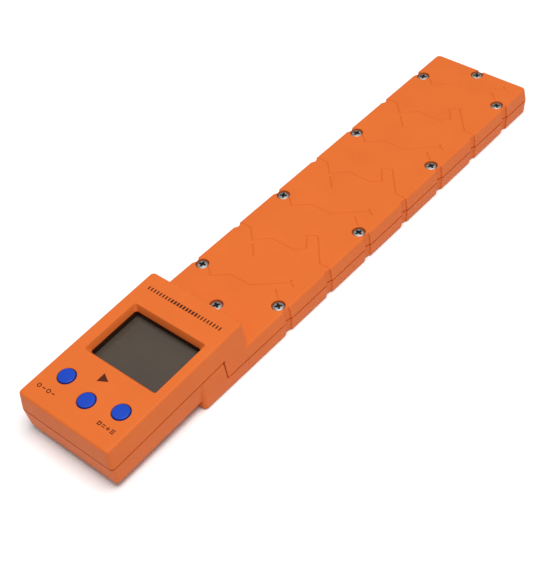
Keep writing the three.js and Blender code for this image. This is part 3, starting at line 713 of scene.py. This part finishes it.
def shoulder_outline(draft, rounding):
    half = BEAM_HALF - draft - rounding
    start = SHOULDER_START + draft + rounding
    return rounded(rectangle((start, SHOULDER_END + SHOULDER_LAP), (-half, half), CORNER_RADIUS))


def head_outline(draft, rounding):
    """The head's plan; its wall over the beam is moulded without draft."""
    half = HEAD_HALF - draft - rounding
    ends_x = (HEAD_FRONT + draft + rounding, HEAD_BACK - rounding)
    return rounded(rectangle(ends_x, (-half, half), HEAD_CORNER_RADIUS))


def drafted(arc, draft):
    """(z, draft, rounding) along the rounded edge of a moulded wall."""
    return [(z, draft, rounding) for z, rounding in arc]


def moulded(name, outline, levels, inset):
    return loft(name, [(z, outline(draft, rounding + inset)) for z, draft, rounding in levels])


def outer_form(name, inset=0.0):
    """Both shells closed, smaller by the inset all round."""
    foot = drafted(foot_arc(inset - BEAM_DEPTH, FOOT_ROUND, ROUND_STEPS), FOOT_DRAFT) + [(PARTING_Z, 0, 0)]
    rim = drafted(rim_arc(-inset, RIM_ROUND, ROUND_STEPS), RIM_DRAFT)
    beam = moulded(name, beam_outline, foot + rim, inset)
    shoulder = moulded("shoulder", shoulder_outline, foot + [(SHOULDER_RISE, SHOULDER_DRAFT, 0)], inset)
    foot = drafted(foot_arc(HEAD_UNDER + inset, FOOT_ROUND, ROUND_STEPS), HEAD_FOOT_DRAFT) + [(0, 0, 0)]
    rim = drafted(rim_arc(HEAD_TOP - inset, RIM_ROUND, ROUND_STEPS), HEAD_RIM_DRAFT)
    head = moulded("head", head_outline, foot + rim, inset)
    return join(beam, shoulder, *in_head(head))


def head_parting_z(x):
    """Height of the head's parting plane at x, in beam coordinates."""
    return HEAD_PLACE.z + (x - HEAD_PLACE.x) * math.tan(HEAD_TILT)


def parting_side(side, shift):
    """Everything above (side 1) or below (side -1) the stepped parting line, moved up by shift."""
    far_left = HEAD_PLACE.x - 2 * BEYOND
    far_right = BEAM_END + BEYOND
    line = [
        (far_left, head_parting_z(far_left) + shift),
        (JOG_TOP_X + shift, head_parting_z(JOG_TOP_X) + shift),
        (JOG_FOOT_X + shift, PARTING_Z + shift),
        (far_right, PARTING_Z + shift),
    ]
    points = line + [(far_right, side * BEYOND), (far_left, side * BEYOND)]
    return side_prism("side", points[::side], BEYOND)


def cavity():
    beam_z = (FLOOR_WALL - BEAM_DEPTH, -TOP_WALL)
    beam = slab("cavity", BEAM_CAVITY_X, (-BEAM_CAVITY_HALF, BEAM_CAVITY_HALF), beam_z, 3)
    head_z = (HEAD_UNDER + HEAD_WALL, HEAD_TOP - HEAD_WALL)
    head = slab("head_cavity", HEAD_CAVITY_X, (-HEAD_CAVITY_HALF, HEAD_CAVITY_HALF), head_z, 2)
    return join(beam, *in_head(head))


COVER_PLACES = [middle(node, BEAM) for node in COVER_SCREWS]
HEAD_SCREW_PLACES = [middle(node, HEAD) for node in HEAD_SCREWS]
BUTTON_PLACES = [middle(f"button_{name}", HEAD) for name in BUTTONS]

# ===== Tread pattern: thin grooves in the wheel platform, repeated with the screw pitch =====
AT_SCREW_PAIR = [
    [(0, 27.2), (-5.5, 20.7), (3.2, 10), (3.2, -6.5), (20.1, -25.9), (18.1, -30.1)],
    [(20.1, -25.9), (22, -24.9)],
    [(9.7, -22), (4.2, -28.5)],
]
BETWEEN_PAIRS = [
    [(3.2, 38.6), (3.2, 29.2), (-5.8, 20.1), (3.2, 10.4), (3.2, -8.7), (8.7, -14.3), (18.8, -6.5),
     (22.7, -13), (2.9, -30.1), (2.9, -38.6)],
    [(-8.4, 17.5), (-17.2, 9.1)],
]


def groove(points):
    """A V-shaped cutter along a bent line on the platform."""
    line = [Vector(point) for point in points]
    mouth = GROOVE_HALF_WIDTH * (GROOVE_DEPTH + GROOVE_ABOVE) / GROOVE_DEPTH
    section = [
        (-mouth, GROOVE_ABOVE),
        (-GROOVE_HALF_FLOOR, -GROOVE_DEPTH),
        (GROOVE_HALF_FLOOR, -GROOVE_DEPTH),
        (mouth, GROOVE_ABOVE),
    ]
    vertices = []
    for k, point in enumerate(line):
        before = (point - line[k - 1]).normalized() if k > 0 else (line[1] - point).normalized()
        after = (line[k + 1] - point).normalized() if k + 1 < len(line) else before
        across = Vector((-before.y - after.y, before.x + after.x)).normalized()
        stretch = 1 / max(0.3, across.dot(Vector((-before.y, before.x))))
        for offset, height in section:
            spot = point + across * offset * stretch
            vertices.append((spot.x, spot.y, height))
    size = len(section)
    return make("groove", vertices, [*ends(size, len(line)), *walls(size, len(line))])


def tread_grooves():
    for pitches, lines in (((0, 1, 2, 3), AT_SCREW_PAIR), ((0.5, 1.5, 2.5), BETWEEN_PAIRS)):
        for pitch in pitches:
            for points in lines:
                yield groove([(x + pitch * SCREW_PITCH, y) for x, y in points])


# ===== Upper shell =====
KEY_POSTS = [middle(f"board_screw_{k}", HEAD) for k in (1, 2)]
MAIN_POSTS = [middle(f"board_screw_{k}", HEAD) for k in (3, 4)]
KEY_BOARD_TOP = span("key_board", HEAD)[1].z
MAIN_BOARD_TOP = span("main_board", HEAD)[1].z


def upper_shell():
    shell = keep_inside(outer_form("upper_shell_look"), parting_side(1, SEAM / 2))
    rebate = keep_inside(outer_form("rebate", LIP_INSET - 0.1), parting_side(-1, SEAM / 2 + LIP_HEIGHT))
    head_inner = HEAD_TOP - HEAD_WALL + WALL_LAP
    cut(shell, rebate, cavity())
    shroud_plan = (grown(WINDOW_X, SHROUD_WALL), grown(WINDOW_Y, SHROUD_WALL))
    shroud = slab("shroud", *shroud_plan, (HEAD_TOP - WINDOW_DEPTH, head_inner), SHROUD_CORNER)
    bosses = drums(COVER_PLACES, UPPER_BOSS_RADIUS, (PARTING_Z + GAP, WALL_LAP - TOP_WALL))
    posts = drums(HEAD_SCREW_PLACES, HEAD_BOSS_RADIUS, (GAP, head_inner))
    posts += drums(KEY_POSTS, POST_RADIUS, (KEY_BOARD_TOP + GAP, head_inner))
    posts += drums(MAIN_POSTS, POST_RADIUS, (MAIN_BOARD_TOP + GAP, head_inner))
    join(shell, *bosses, *in_head(*posts, shroud))
    counterbores = [bore(p.x, p.y, COUNTERBORE_RADIUS, (-COUNTERBORE_DEPTH, 0)) for p in COVER_PLACES]
    shafts = drums(COVER_PLACES, SHAFT_HOLE, (PARTING_Z - 1, -1), 24)
    holes = drums(HEAD_SCREW_PLACES, HEAD_SHAFT_HOLE, (-1, 9), 24)
    holes += drums(KEY_POSTS, POST_SHAFT_HOLE, (KEY_BOARD_TOP, 10), 20)
    holes += drums(MAIN_POSTS, POST_SHAFT_HOLE, (MAIN_BOARD_TOP, 8), 20)
    holes += [bore(p.x, p.y, BUTTON_RADIUS + BUTTON_CLEARANCE, (8, HEAD_TOP), 64) for p in BUTTON_PLACES]
    holes.append(window_opening())
    return cut(shell, *counterbores, *shafts, *in_head(*holes), *jog_dots(), *tread_grooves())


def window_opening():
    """A cutter with a rounded mouth, sloping sides, and a straight drop to the pane below them."""
    levels = [(HEAD_TOP - depth, WINDOW_SLOPE_RUN) for depth in (WINDOW_DEPTH + 1, WINDOW_SLOPE_DEPTH)]
    levels += [(z, -growth) for z, growth in rim_arc(HEAD_TOP, WINDOW_MOUTH, MOUTH_STEPS)]
    levels.append((HEAD_TOP + 1, -WINDOW_MOUTH))
    return box_loft("window", WINDOW_X, WINDOW_Y, [(z, inset, WINDOW_CORNER) for z, inset in levels])


def jog_dots():
    """A small drain hole in each side wall, at the upper corner of the parting line."""
    for side in (-1, 1):
        piece = drum("dot", 0, 0, JOG_DOT_RADIUS, (-2.4, 2.4), 24)
        place = Matrix.Translation((JOG_TOP_X, side * (HEAD_HALF - 1), head_parting_z(JOG_TOP_X) - 0.3))
        yield moved(piece, place @ Matrix.Rotation(math.pi / 2, 4, "X"))


def window_wall_shade(spot):
    """1 on the straight lower walls of the window, which get a dark red-brown painted shade for the deep shadow on
    them.
    """
    x, y = (grown(reach, 0.1 - WINDOW_SLOPE_RUN) for reach in (WINDOW_X, WINDOW_Y))
    z = (HEAD_TOP - WINDOW_DEPTH, HEAD_TOP - WINDOW_SLOPE_DEPTH - 0.01)
    return int(all(low < at < high for at, (low, high) in zip(spot, (x, y, z))))


upper_look = finished(upper_shell(), BEAM, "housing", "shell", SHELL_PLASTIC, "upper_shell")
# The window's straight lower walls get the dark red-brown painted shade.
paint(upper_look, HEAD.inverted(), window_wall_shade, WINDOW_WALL_SHADE)

# ===== Lower shell =====
STRIP_CLEARANCE = 0.3
STRIP_SINK = 1.2
STRIPS = {name: span(name, BEAM) for name in ("foot_strip_left", "foot_strip_right")}


def strip_seat(low, high):
    x, y = (grown(reach, STRIP_CLEARANCE) for reach in ((low.x, high.x), (low.y, high.y)))
    radius = (y[1] - y[0]) / 2 - 0.05
    piece = pocket(x, y, radius, (BEAM_DEPTH - STRIP_SINK, BEAM_DEPTH), 0.2, 12)
    return moved(piece, TURNED_OVER @ Matrix.Translation((0, -(low.y + high.y), 0)))


def lower_shell():
    shell = keep_inside(outer_form("lower_shell_look"), parting_side(-1, -SEAM / 2))
    lip = keep_inside(outer_form("lip", LIP_INSET), parting_side(-1, SEAM / 2 + LIP_HEIGHT - 0.15))
    lip = keep_inside(lip, parting_side(1, -SEAM / 2 - 1))
    head_floor = HEAD_UNDER + HEAD_WALL - WALL_LAP
    floor = FLOOR_WALL - BEAM_DEPTH - WALL_LAP
    join(shell, lip)
    cut(shell, cavity())
    bay_plan = (grown(BAY_X, BAY_WALL), grown(BAY_Y, BAY_WALL))
    bay = slab("bay", *bay_plan, (head_floor, BAY_ROOF + BAY_WALL - GAP), 0.8)
    bosses = drums(COVER_PLACES, LOWER_BOSS_RADIUS, (floor, PARTING_Z - GAP))
    posts = drums(HEAD_SCREW_PLACES, HEAD_BOSS_RADIUS, (head_floor, -GAP))
    join(shell, *bosses, *in_head(*posts, bay))
    tip = span("cover_screw_1", BEAM)[0].z - GAP
    shafts = drums(COVER_PLACES, SHAFT_HOLE, (tip, PARTING_Z + 1), 24)
    holes = drums(HEAD_SCREW_PLACES, HEAD_SHAFT_HOLE, (-12, 1), 24)
    recess_z = (HEAD_UNDER, HEAD_SCREW_SEAT)
    holes += [bore_from_below(p.x, p.y, HEAD_RECESS_RADIUS, recess_z) for p in HEAD_SCREW_PLACES]
    bay_pocket = pocket(BAY_X, BAY_Y, 0.4, (-BAY_ROOF, -HEAD_UNDER), 0.25)
    holes.append(moved(bay_pocket, TURNED_OVER))
    seats = [strip_seat(*corners) for corners in STRIPS.values()]
    return cut(shell, *shafts, *in_head(*holes), *seats, *jog_dots())


finished(lower_shell(), BEAM, "housing", "shell", SHELL_PLASTIC, "lower_shell")

# ===== Screws =====
# Head radius, head height and shaft radius
COVER_SCREW = (4, 2.1, 1.8)
HEAD_SCREW = (2.8, 1.8, 1.4)
HEAD_RIM_SHARE = 0.3
HEAD_FULLNESS = 3
CROSS_TURNS = [12, 50, 31, 76, 5, 64, 22, 47, 58, 35]
CROSS_REACH = 0.66
CROSS_WIDTH = 0.17
CROSS_DEPTH = 0.8
THREAD_START = 1.2


def cross_outline(reach, half_width):
    softness = 0.12
    quarter_points = [(x, y, softness) for x, y in (
        (half_width, half_width), (half_width, reach), (-half_width, reach),
    )]
    corners = []
    for turn in range(4):
        for x, y, radius in quarter_points:
            spun = Matrix.Rotation(turn * math.pi / 2, 2) @ Vector((x, y))
            corners.append((spun.x, spun.y, radius))
    return rounded(corners, SOFT_ARC_STEPS)


def dome_height(radius, head_radius, head_height):
    """Height of a pan head's surface above its seat at a radius."""
    rim = head_height * HEAD_RIM_SHARE
    share = min(1, radius / head_radius)
    return rim + (head_height - rim) * (1 - share ** HEAD_FULLNESS) ** (1 / HEAD_FULLNESS)


def screw(name, head_radius, head_height, shaft_radius, length):
    """A pan-head screw with its seat at z = 0: domed head, cross recess, ridged thread, pointed tip."""
    pitch = shaft_radius * 0.6
    profile = [(0, -length), (shaft_radius * 0.75, -length + shaft_radius)]
    for turn in range(int((length - shaft_radius - THREAD_START) / pitch)):
        z = -length + shaft_radius + pitch * turn
        profile += [(shaft_radius, z + pitch * 0.4), (shaft_radius * 0.84, z + pitch * 0.9)]
    profile += [(shaft_radius * 0.9, -THREAD_START * 0.5), (shaft_radius, 0), (head_radius * 0.96, 0)]
    rim = head_height * HEAD_RIM_SHARE
    fullness = 2 / HEAD_FULLNESS
    for turn in quarter(10):
        radius = head_radius * math.cos(turn) ** fullness if turn < math.pi / 2 - 0.01 else 0
        profile.append((radius, rim + (head_height - rim) * math.sin(turn) ** fullness))
    reach = head_radius * CROSS_REACH
    width = head_radius * CROSS_WIDTH
    depth = head_height * CROSS_DEPTH
    recess = loft("cross", [
        (head_height - depth, cross_outline(reach * 0.7, width * 0.85)),
        (head_height + 0.3, cross_outline(reach * 1.06, width * 1.05)),
    ])
    pit = turned("pit", [
        (0, head_height - depth - head_radius * 0.1),
        (width * 2.1, head_height - depth * 0.35),
        (width * 2.3, head_height + 0.3),
        (0, head_height + 0.3),
    ], 16)
    return cut(turned(name, profile), recess, pit)


def place_screw(node, space, sizes, turn, over=False):
    head_radius, head_height, _ = sizes
    low, high = span(node, space)
    seat_z = low.z + head_height if over else high.z - head_height
    piece = screw(f"{node}_look", *sizes, high.z - low.z - head_height)
    spin = Matrix.Rotation(math.radians(turn), 4, "Z")
    flip = TURNED_OVER if over else Matrix.Identity(4)
    spot = Matrix.Translation(((low.x + high.x) / 2, (low.y + high.y) / 2, seat_z))
    moved(piece, spot @ flip @ spin)
    finished(piece, space, "housing", "screw", SCREW_STEEL, node, sharp_degrees=40)

    # Faces inside the cross recess take the near-black painted shade, standing in for the shadow in the hollow.
    def recessed(place):
        surface = dome_height(math.hypot(place.x, place.y), head_radius, head_height)
        return int(0.05 < place.z < surface - 0.12)

    paint(piece, (space @ spot @ flip @ spin).inverted(), recessed, CROSS_SHADE)


for cover_node, cross_turn in zip(COVER_SCREWS, CROSS_TURNS):
    place_screw(cover_node, BEAM, COVER_SCREW, cross_turn)
for head_node, cross_turn in zip(HEAD_SCREWS, CROSS_TURNS):
    place_screw(head_node, HEAD, HEAD_SCREW, cross_turn, over=True)

# ===== Buttons =====
CAP_ROUND = 0.7
CAP_CROWN = 0.12
STEM_RADIUS = 2.4
FLANGE_RADIUS = 7.6
FLANGE_THICKNESS = 1


def button(name):
    """Round cap with a rounded rim and a slight crown, a retaining flange behind the wall, and a stem."""
    low, high = span(f"button_{name}", HEAD)
    place = (low + high) / 2
    flange_top = HEAD_TOP - HEAD_WALL - GAP
    flange_foot = flange_top - FLANGE_THICKNESS
    profile = [(0, low.z), (STEM_RADIUS, low.z), (STEM_RADIUS, flange_foot)]
    profile += [(FLANGE_RADIUS, flange_foot), (FLANGE_RADIUS, flange_top), (BUTTON_RADIUS, flange_top)]
    shoulder = high.z - CAP_CROWN
    profile += [(BUTTON_RADIUS - inset, z) for z, inset in rim_arc(shoulder, CAP_ROUND, 6)]
    flat = BUTTON_RADIUS - CAP_ROUND
    for share in (0.85, 0.65, 0.45, 0.25, 0):
        profile.append((flat * share, shoulder + CAP_CROWN * (1 - share * share)))
    piece = turned(f"button_{name}_look", profile, 72)
    moved(piece, Matrix.Translation((place.x, place.y, 0)))
    finished(piece, HEAD, f"{name}_button", "button", BUTTON_BLUE, f"button_{name}")


for button_name in BUTTONS:
    button(button_name)

# ===== Screen =====
LAYER_INSET = 1.5
LAYER_STEP = 0.25


def screen():
    """A clear pane under the window, and a display whose glass is black around its layer."""
    low, high = span("display_window", HEAD)
    pane = soft_slab("display_window_look", (low.x, high.x), (low.y, high.y), (low.z, high.z), 1, 0.15)
    finished(pane, HEAD, "housing", "pane", PANE, "display_window")
    low, high = span("lcd_panel", HEAD)
    glass_z = (low.z, high.z - LAYER_STEP)
    glass = soft_slab("lcd_panel_look", (low.x, high.x), (low.y, high.y), glass_z, 0.6, 0.12)
    layer_plan = (grown(WINDOW_X, -LAYER_INSET), grown(WINDOW_Y, -LAYER_INSET))
    layer = soft_slab("layer", *layer_plan, (high.z - 0.6, high.z), 0.5, 0.08)
    panel = finished(join(glass, layer), HEAD, "housing", "lcd", DISPLAY, "lcd_panel")
    paint(panel, HEAD.inverted(), lambda spot: int(spot.z < high.z - LAYER_STEP * 0.8), BLACK_PLASTIC)


screen()

# ===== Printed marks on the head: generic signs only =====
PRINT_Z = (HEAD_TOP - 0.1, HEAD_TOP + 0.05)
HOLE_Z = (HEAD_TOP - 1, HEAD_TOP + 1)


def bar(x, y):
    return slab("bar", x, y, PRINT_Z, 0.12, SOFT_ARC_STEPS)


def prism(name, corners):
    return loft(name, [(z, corners) for z in PRINT_Z])


def ring(x, y, outer, inner):
    return cut(drum("ring", x, y, outer, PRINT_Z), drum("hole", x, y, inner, HOLE_Z))


def printed(name, pieces):
    sign = join(*pieces)
    sign.name = name
    finished(sign, HEAD, "housing", "black_plastic", INK)


def power_sign():
    """A broken ring with a stroke in its gap, a bar, a plain ring and a second bar."""
    x, y = -35.9, 30.2
    circle = cut(ring(x, y, 1.55, 0.95), bar((x - 0.5, x + 2), (y - 0.65, y + 0.65)))
    strokes = [bar((x + 0.2, x + 1.7), (y - 0.28, y + 0.28))]
    strokes += [bar((x - 0.32, x + 0.32), (y - 5.2, y - 2.8)), ring(x, y - 8, 1.5, 0.9)]
    strokes += [bar((x - 0.32, x + 0.32), (y - 12.9, y - 10.6))]
    printed("print_power", [circle, *strokes])


def sum_sign():
    """A stack of strokes, a plus, an equals sign and a box."""
    x, y = -34.6, -31
    rows = [bar((x + row - 0.3, x + row + 0.3), (y, y + 2.7)) for row in (-1.15, 0, 1.15)]
    plus = [bar((x - 0.3, x + 0.3), (y + 3.8, y + 6.4)), bar((x - 1.3, x + 1.3), (y + 4.8, y + 5.4))]
    equals = [bar((x + row - 0.3, x + row + 0.3), (y + 7.4, y + 9.7)) for row in (-0.7, 0.7)]
    hole = slab("hole", (x - 0.65, x + 0.65), (y + 11.35, y + 12.65), HOLE_Z, 0.1)
    box = cut(bar((x - 1.3, x + 1.3), (y + 10.7, y + 13.3)), hole)
    printed("print_total", rows + plus + equals + [box])


STROKE_COUNT = 25
STROKE_PITCH = 2.46
STROKE_X = (55.7, 58.5)
FIRST_STROKE_Y = -29.6


def graduation():
    """A row of graduation strokes behind the screen, bolder along its middle."""
    strokes = []
    for k in range(STROKE_COUNT):
        y = FIRST_STROKE_Y + STROKE_PITCH * k
        half = 0.75 if abs(k - STROKE_COUNT // 2) < 5 else 0.5
        strokes.append(bar(STROKE_X, (y - half, y + half)))
    printed("print_scale", strokes)


printed("print_arrow", [prism("arrow", [(-14.2, 4.2), (-10.7, -2.3), (-7.3, 4.2)])])
power_sign()
sum_sign()
graduation()

# ===== Foot strips =====
RIB_PITCH = 3
RIB_DEPTH = 0.35
STRIP_SOFTNESS = 0.3


def foot_strip(node):
    """A rubber strip with round ends and cross ribs on its underside."""
    low, high = STRIPS[node]
    half = (high.y - low.y) / 2
    centre_y = (high.y + low.y) / 2
    turns = quarter(8)
    round_end = [(half * (1 - math.cos(turn)) + 0.02, half * max(0.12, math.sin(turn))) for turn in turns]
    stations = [(low.x + along, reach, low.z) for along, reach in round_end]
    first = low.x + half + 1
    for rib in range(int((high.x - half - 1 - first) / RIB_PITCH)):
        for share, rise in ((0, 0), (0.25, RIB_DEPTH), (0.5, RIB_DEPTH), (0.75, 0)):
            stations.append((first + (rib + share) * RIB_PITCH, half, low.z + rise))
    stations += [(high.x - along, reach, low.z) for along, reach in reversed(round_end)]
    vertices = []
    for x, reach, foot in stations:
        edge = [(reach - STRIP_SOFTNESS, foot), (reach, foot + STRIP_SOFTNESS), (reach, high.z)]
        section = [(-y, z) for y, z in reversed(edge)] + edge
        vertices += [(x, centre_y + y, z) for y, z in section]
    size = 6
    faces = [*ends(size, len(stations)), *walls(size, len(stations))]
    piece = make(f"{node}_look", vertices, faces)
    finished(piece, BEAM, "housing", "rubber", RUBBER, node)


for strip_node in STRIPS:
    foot_strip(strip_node)

# ===== Battery door, cells and springs =====
DOOR_THICKNESS = 2.3
DOOR_SOFTNESS = 0.35
GRIPS_X = (-20.6, -22.6, -24.6)
BAND_LENGTH = 11
SPRING_WIRE = 0.35
SPRING_TURNS = 4
SPRING_RADII = (3.6, 2.4)


def battery_door():
    """A flat door with a rounded hinge edge, a fingernail scoop and grip grooves near its free edge."""
    low, high = span("battery_door", HEAD)
    radius = DOOR_THICKNESS / 2
    hinge = (low.x + radius, low.z + radius)
    profile = []
    for step in range(13):
        turn = math.pi * (0.5 + step / 12)
        profile.append((hinge[0] + radius * math.cos(turn), hinge[1] + radius * math.sin(turn)))
    soft_x = high.x - DOOR_SOFTNESS
    profile += [(soft_x, low.z), (high.x, low.z + DOOR_SOFTNESS)]
    profile += [(high.x, high.z - DOOR_SOFTNESS), (soft_x, high.z)]
    piece = side_prism("battery_door_look", profile[::-1], (high.y - low.y) / 2)
    scoop = slab("scoop", (high.x - 1.6, high.x + 2), (-6, 6), (low.z - 1, low.z + 0.8), 0.7)
    grip_z = (low.z - 1, low.z + 0.45)
    grips = [slab("grip", (x - 0.5, x + 0.5), (-8, 8), grip_z, 0.49) for x in GRIPS_X]
    cut(piece, scoop, *grips)
    finished(piece, HEAD, "door", "shell", SHELL_PLASTIC, "battery_door")


battery_door()


def dry_cell(node, flip):
    """A bare cell along Y: dark sleeve, warm band at its button end, bright metal ends."""
    low, high = span(node, HEAD)
    length = high.y - low.y
    radius = (high.z - low.z) / 2
    band_start = length - BAND_LENGTH
    profile = [
        (0, 0), (radius * 0.45, 0.02), (radius * 0.8, 0.12), (radius - 0.5, 0.1), (radius - 0.25, 0),
        (radius, 0.3), (radius, 1.1), (radius - 0.04, 1.2), (radius - 0.04, band_start),
        (radius - 0.04, length - 2.2), (radius, length - 2.1), (radius, length - 1.3),
        (radius - 0.35, length - 0.95), (radius - 1, length - 1.15), (2.1, length - 1.1), (1.9, length - 0.9),
        (1.85, length - 0.2), (1.6, length), (0, length),
    ]
    piece = turned(f"{node}_look", profile, 48)
    lie = Matrix.Rotation(-math.pi / 2, 4, "X")
    spin = Matrix.Rotation(math.pi, 4, "Z") if flip else Matrix.Identity(4)
    start = high.y if flip else low.y
    moved(piece, Matrix.Translation(((low.x + high.x) / 2, start, (low.z + high.z) / 2)) @ spin @ lie)
    finished(piece, HEAD, "housing", "battery_sleeve", SLEEVE, node)

    def zone(spot):
        along = abs(spot.y - start)
        if along < 1.15 or along > length - 2.15:
            return 1
        return 2 if along > band_start else 0

    paint(piece, HEAD.inverted(), zone, CONTACT_METAL, SLEEVE_BAND)


def contact_spring(node, flip):
    """A conical coil spring along Y, as one swept wire."""
    low, high = span(node, HEAD)
    length = high.y - low.y
    steps = 24 * SPRING_TURNS
    curve = bpy.data.curves.new(f"{node}_look", "CURVE")
    curve.dimensions = "3D"
    curve.bevel_depth = SPRING_WIRE
    curve.bevel_resolution = 3
    curve.use_fill_caps = True
    spline = curve.splines.new("POLY")
    spline.points.add(steps)
    centre = (low + high) / 2
    for k in range(steps + 1):
        share = k / steps
        angle = share * SPRING_TURNS * 2 * math.pi
        radius = SPRING_RADII[0] + (SPRING_RADII[1] - SPRING_RADII[0]) * share
        along = SPRING_WIRE + (length - 2 * SPRING_WIRE) * min(1, max(0, (share - 0.08) / 0.84))
        y = high.y - along if flip else low.y + along
        spline.points[k].co = (centre.x + radius * math.cos(angle), y, centre.z + radius * math.sin(angle), 1)
    coil = bpy.data.objects.new("coil", curve)
    bpy.context.scene.collection.objects.link(coil)
    mesh = bpy.data.meshes.new_from_object(coil.evaluated_get(bpy.context.evaluated_depsgraph_get()))
    bpy.data.objects.remove(coil)
    piece = bpy.data.objects.new(f"{node}_look", mesh)
    bpy.context.scene.collection.objects.link(piece)
    finished(piece, HEAD, "housing", "contact_metal", CONTACT_METAL, node)


dry_cell("battery_1", flip=False)
dry_cell("battery_2", flip=True)
contact_spring("battery_spring_1", flip=False)
contact_spring("battery_spring_2", flip=True)

# ===== Finishes of the pieces that stay as the CAD made them =====
SLOT_FINISH = {
    "screw": SCREW_STEEL,
    "plate_steel": PLATE_STEEL,
    "cell_metal": CELL_METAL,
    "board": BOARD,
    "black_plastic": BLACK_PLASTIC,
    "white_plastic": WHITE_PLASTIC,
    "contact_metal": CONTACT_METAL,
    "rubber": RUBBER,
    "cable": CABLE_JACKET,
    "shell": SHELL_PLASTIC,
    "button": BUTTON_BLUE,
    "pane": PANE,
    "lcd": DISPLAY,
    "battery_sleeve": SLEEVE,
}
for part in frame["record"]["subparts"]:
    cad_object = NODES[part["node"]]
    cad_object.data.materials.clear()
    cad_object.data.materials.append(SLOT_FINISH[part["material_slot"]])

# ===== Floor and light =====
FLOOR_HALF = 6
KEY_PLACE = Vector((-0.1, -0.6, 3))
KEY_SIZE = 2
KEY_POWER = 92
WORLD_STRENGTH = 0.32


def make_floor():
    glow = {"Emission_Color": (1, 1, 1, 1), "Emission_Strength": 0.02}
    finish = Finish("floor_paper", Specular_IOR_Level=0.1, **glow)
    drift = finish.spread(finish.noise(60, 2), 0, 1)
    finish.colour(finish.mix(drift, (0.95, 0.95, 0.95), (0.93, 0.93, 0.93)))
    finish.roughness(finish.spread(finish.noise(3, 2), 0.8, 0.9))
    corners = [(x * FLOOR_HALF, y * FLOOR_HALF, 0) for x, y in ((-1, -1), (1, -1), (1, 1), (-1, 1))]
    floor = make("floor", corners, [(0, 1, 2, 3)])
    floor.data.materials.append(finish.material)


def make_light():
    """One broad lamp over the object, and even light from all round."""
    data = bpy.data.lights.new("key", "AREA")
    data.shape = "DISK"
    data.size = KEY_SIZE
    data.energy = KEY_POWER
    light = bpy.data.objects.new("key", data)
    aim = (-KEY_PLACE).to_track_quat("-Z", "Y").to_matrix().to_4x4()
    light.matrix_world = Matrix.Translation(KEY_PLACE) @ aim
    bpy.context.scene.collection.objects.link(light)
    world = bpy.data.worlds.new("studio")
    world.use_nodes = True
    background = world.node_tree.nodes["Background"]
    background.inputs["Color"].default_value = (1, 1, 1, 1)
    background.inputs["Strength"].default_value = WORLD_STRENGTH
    bpy.context.scene.world = world


make_floor()
make_light()
bpy.context.scene.view_settings.view_transform = "Standard"
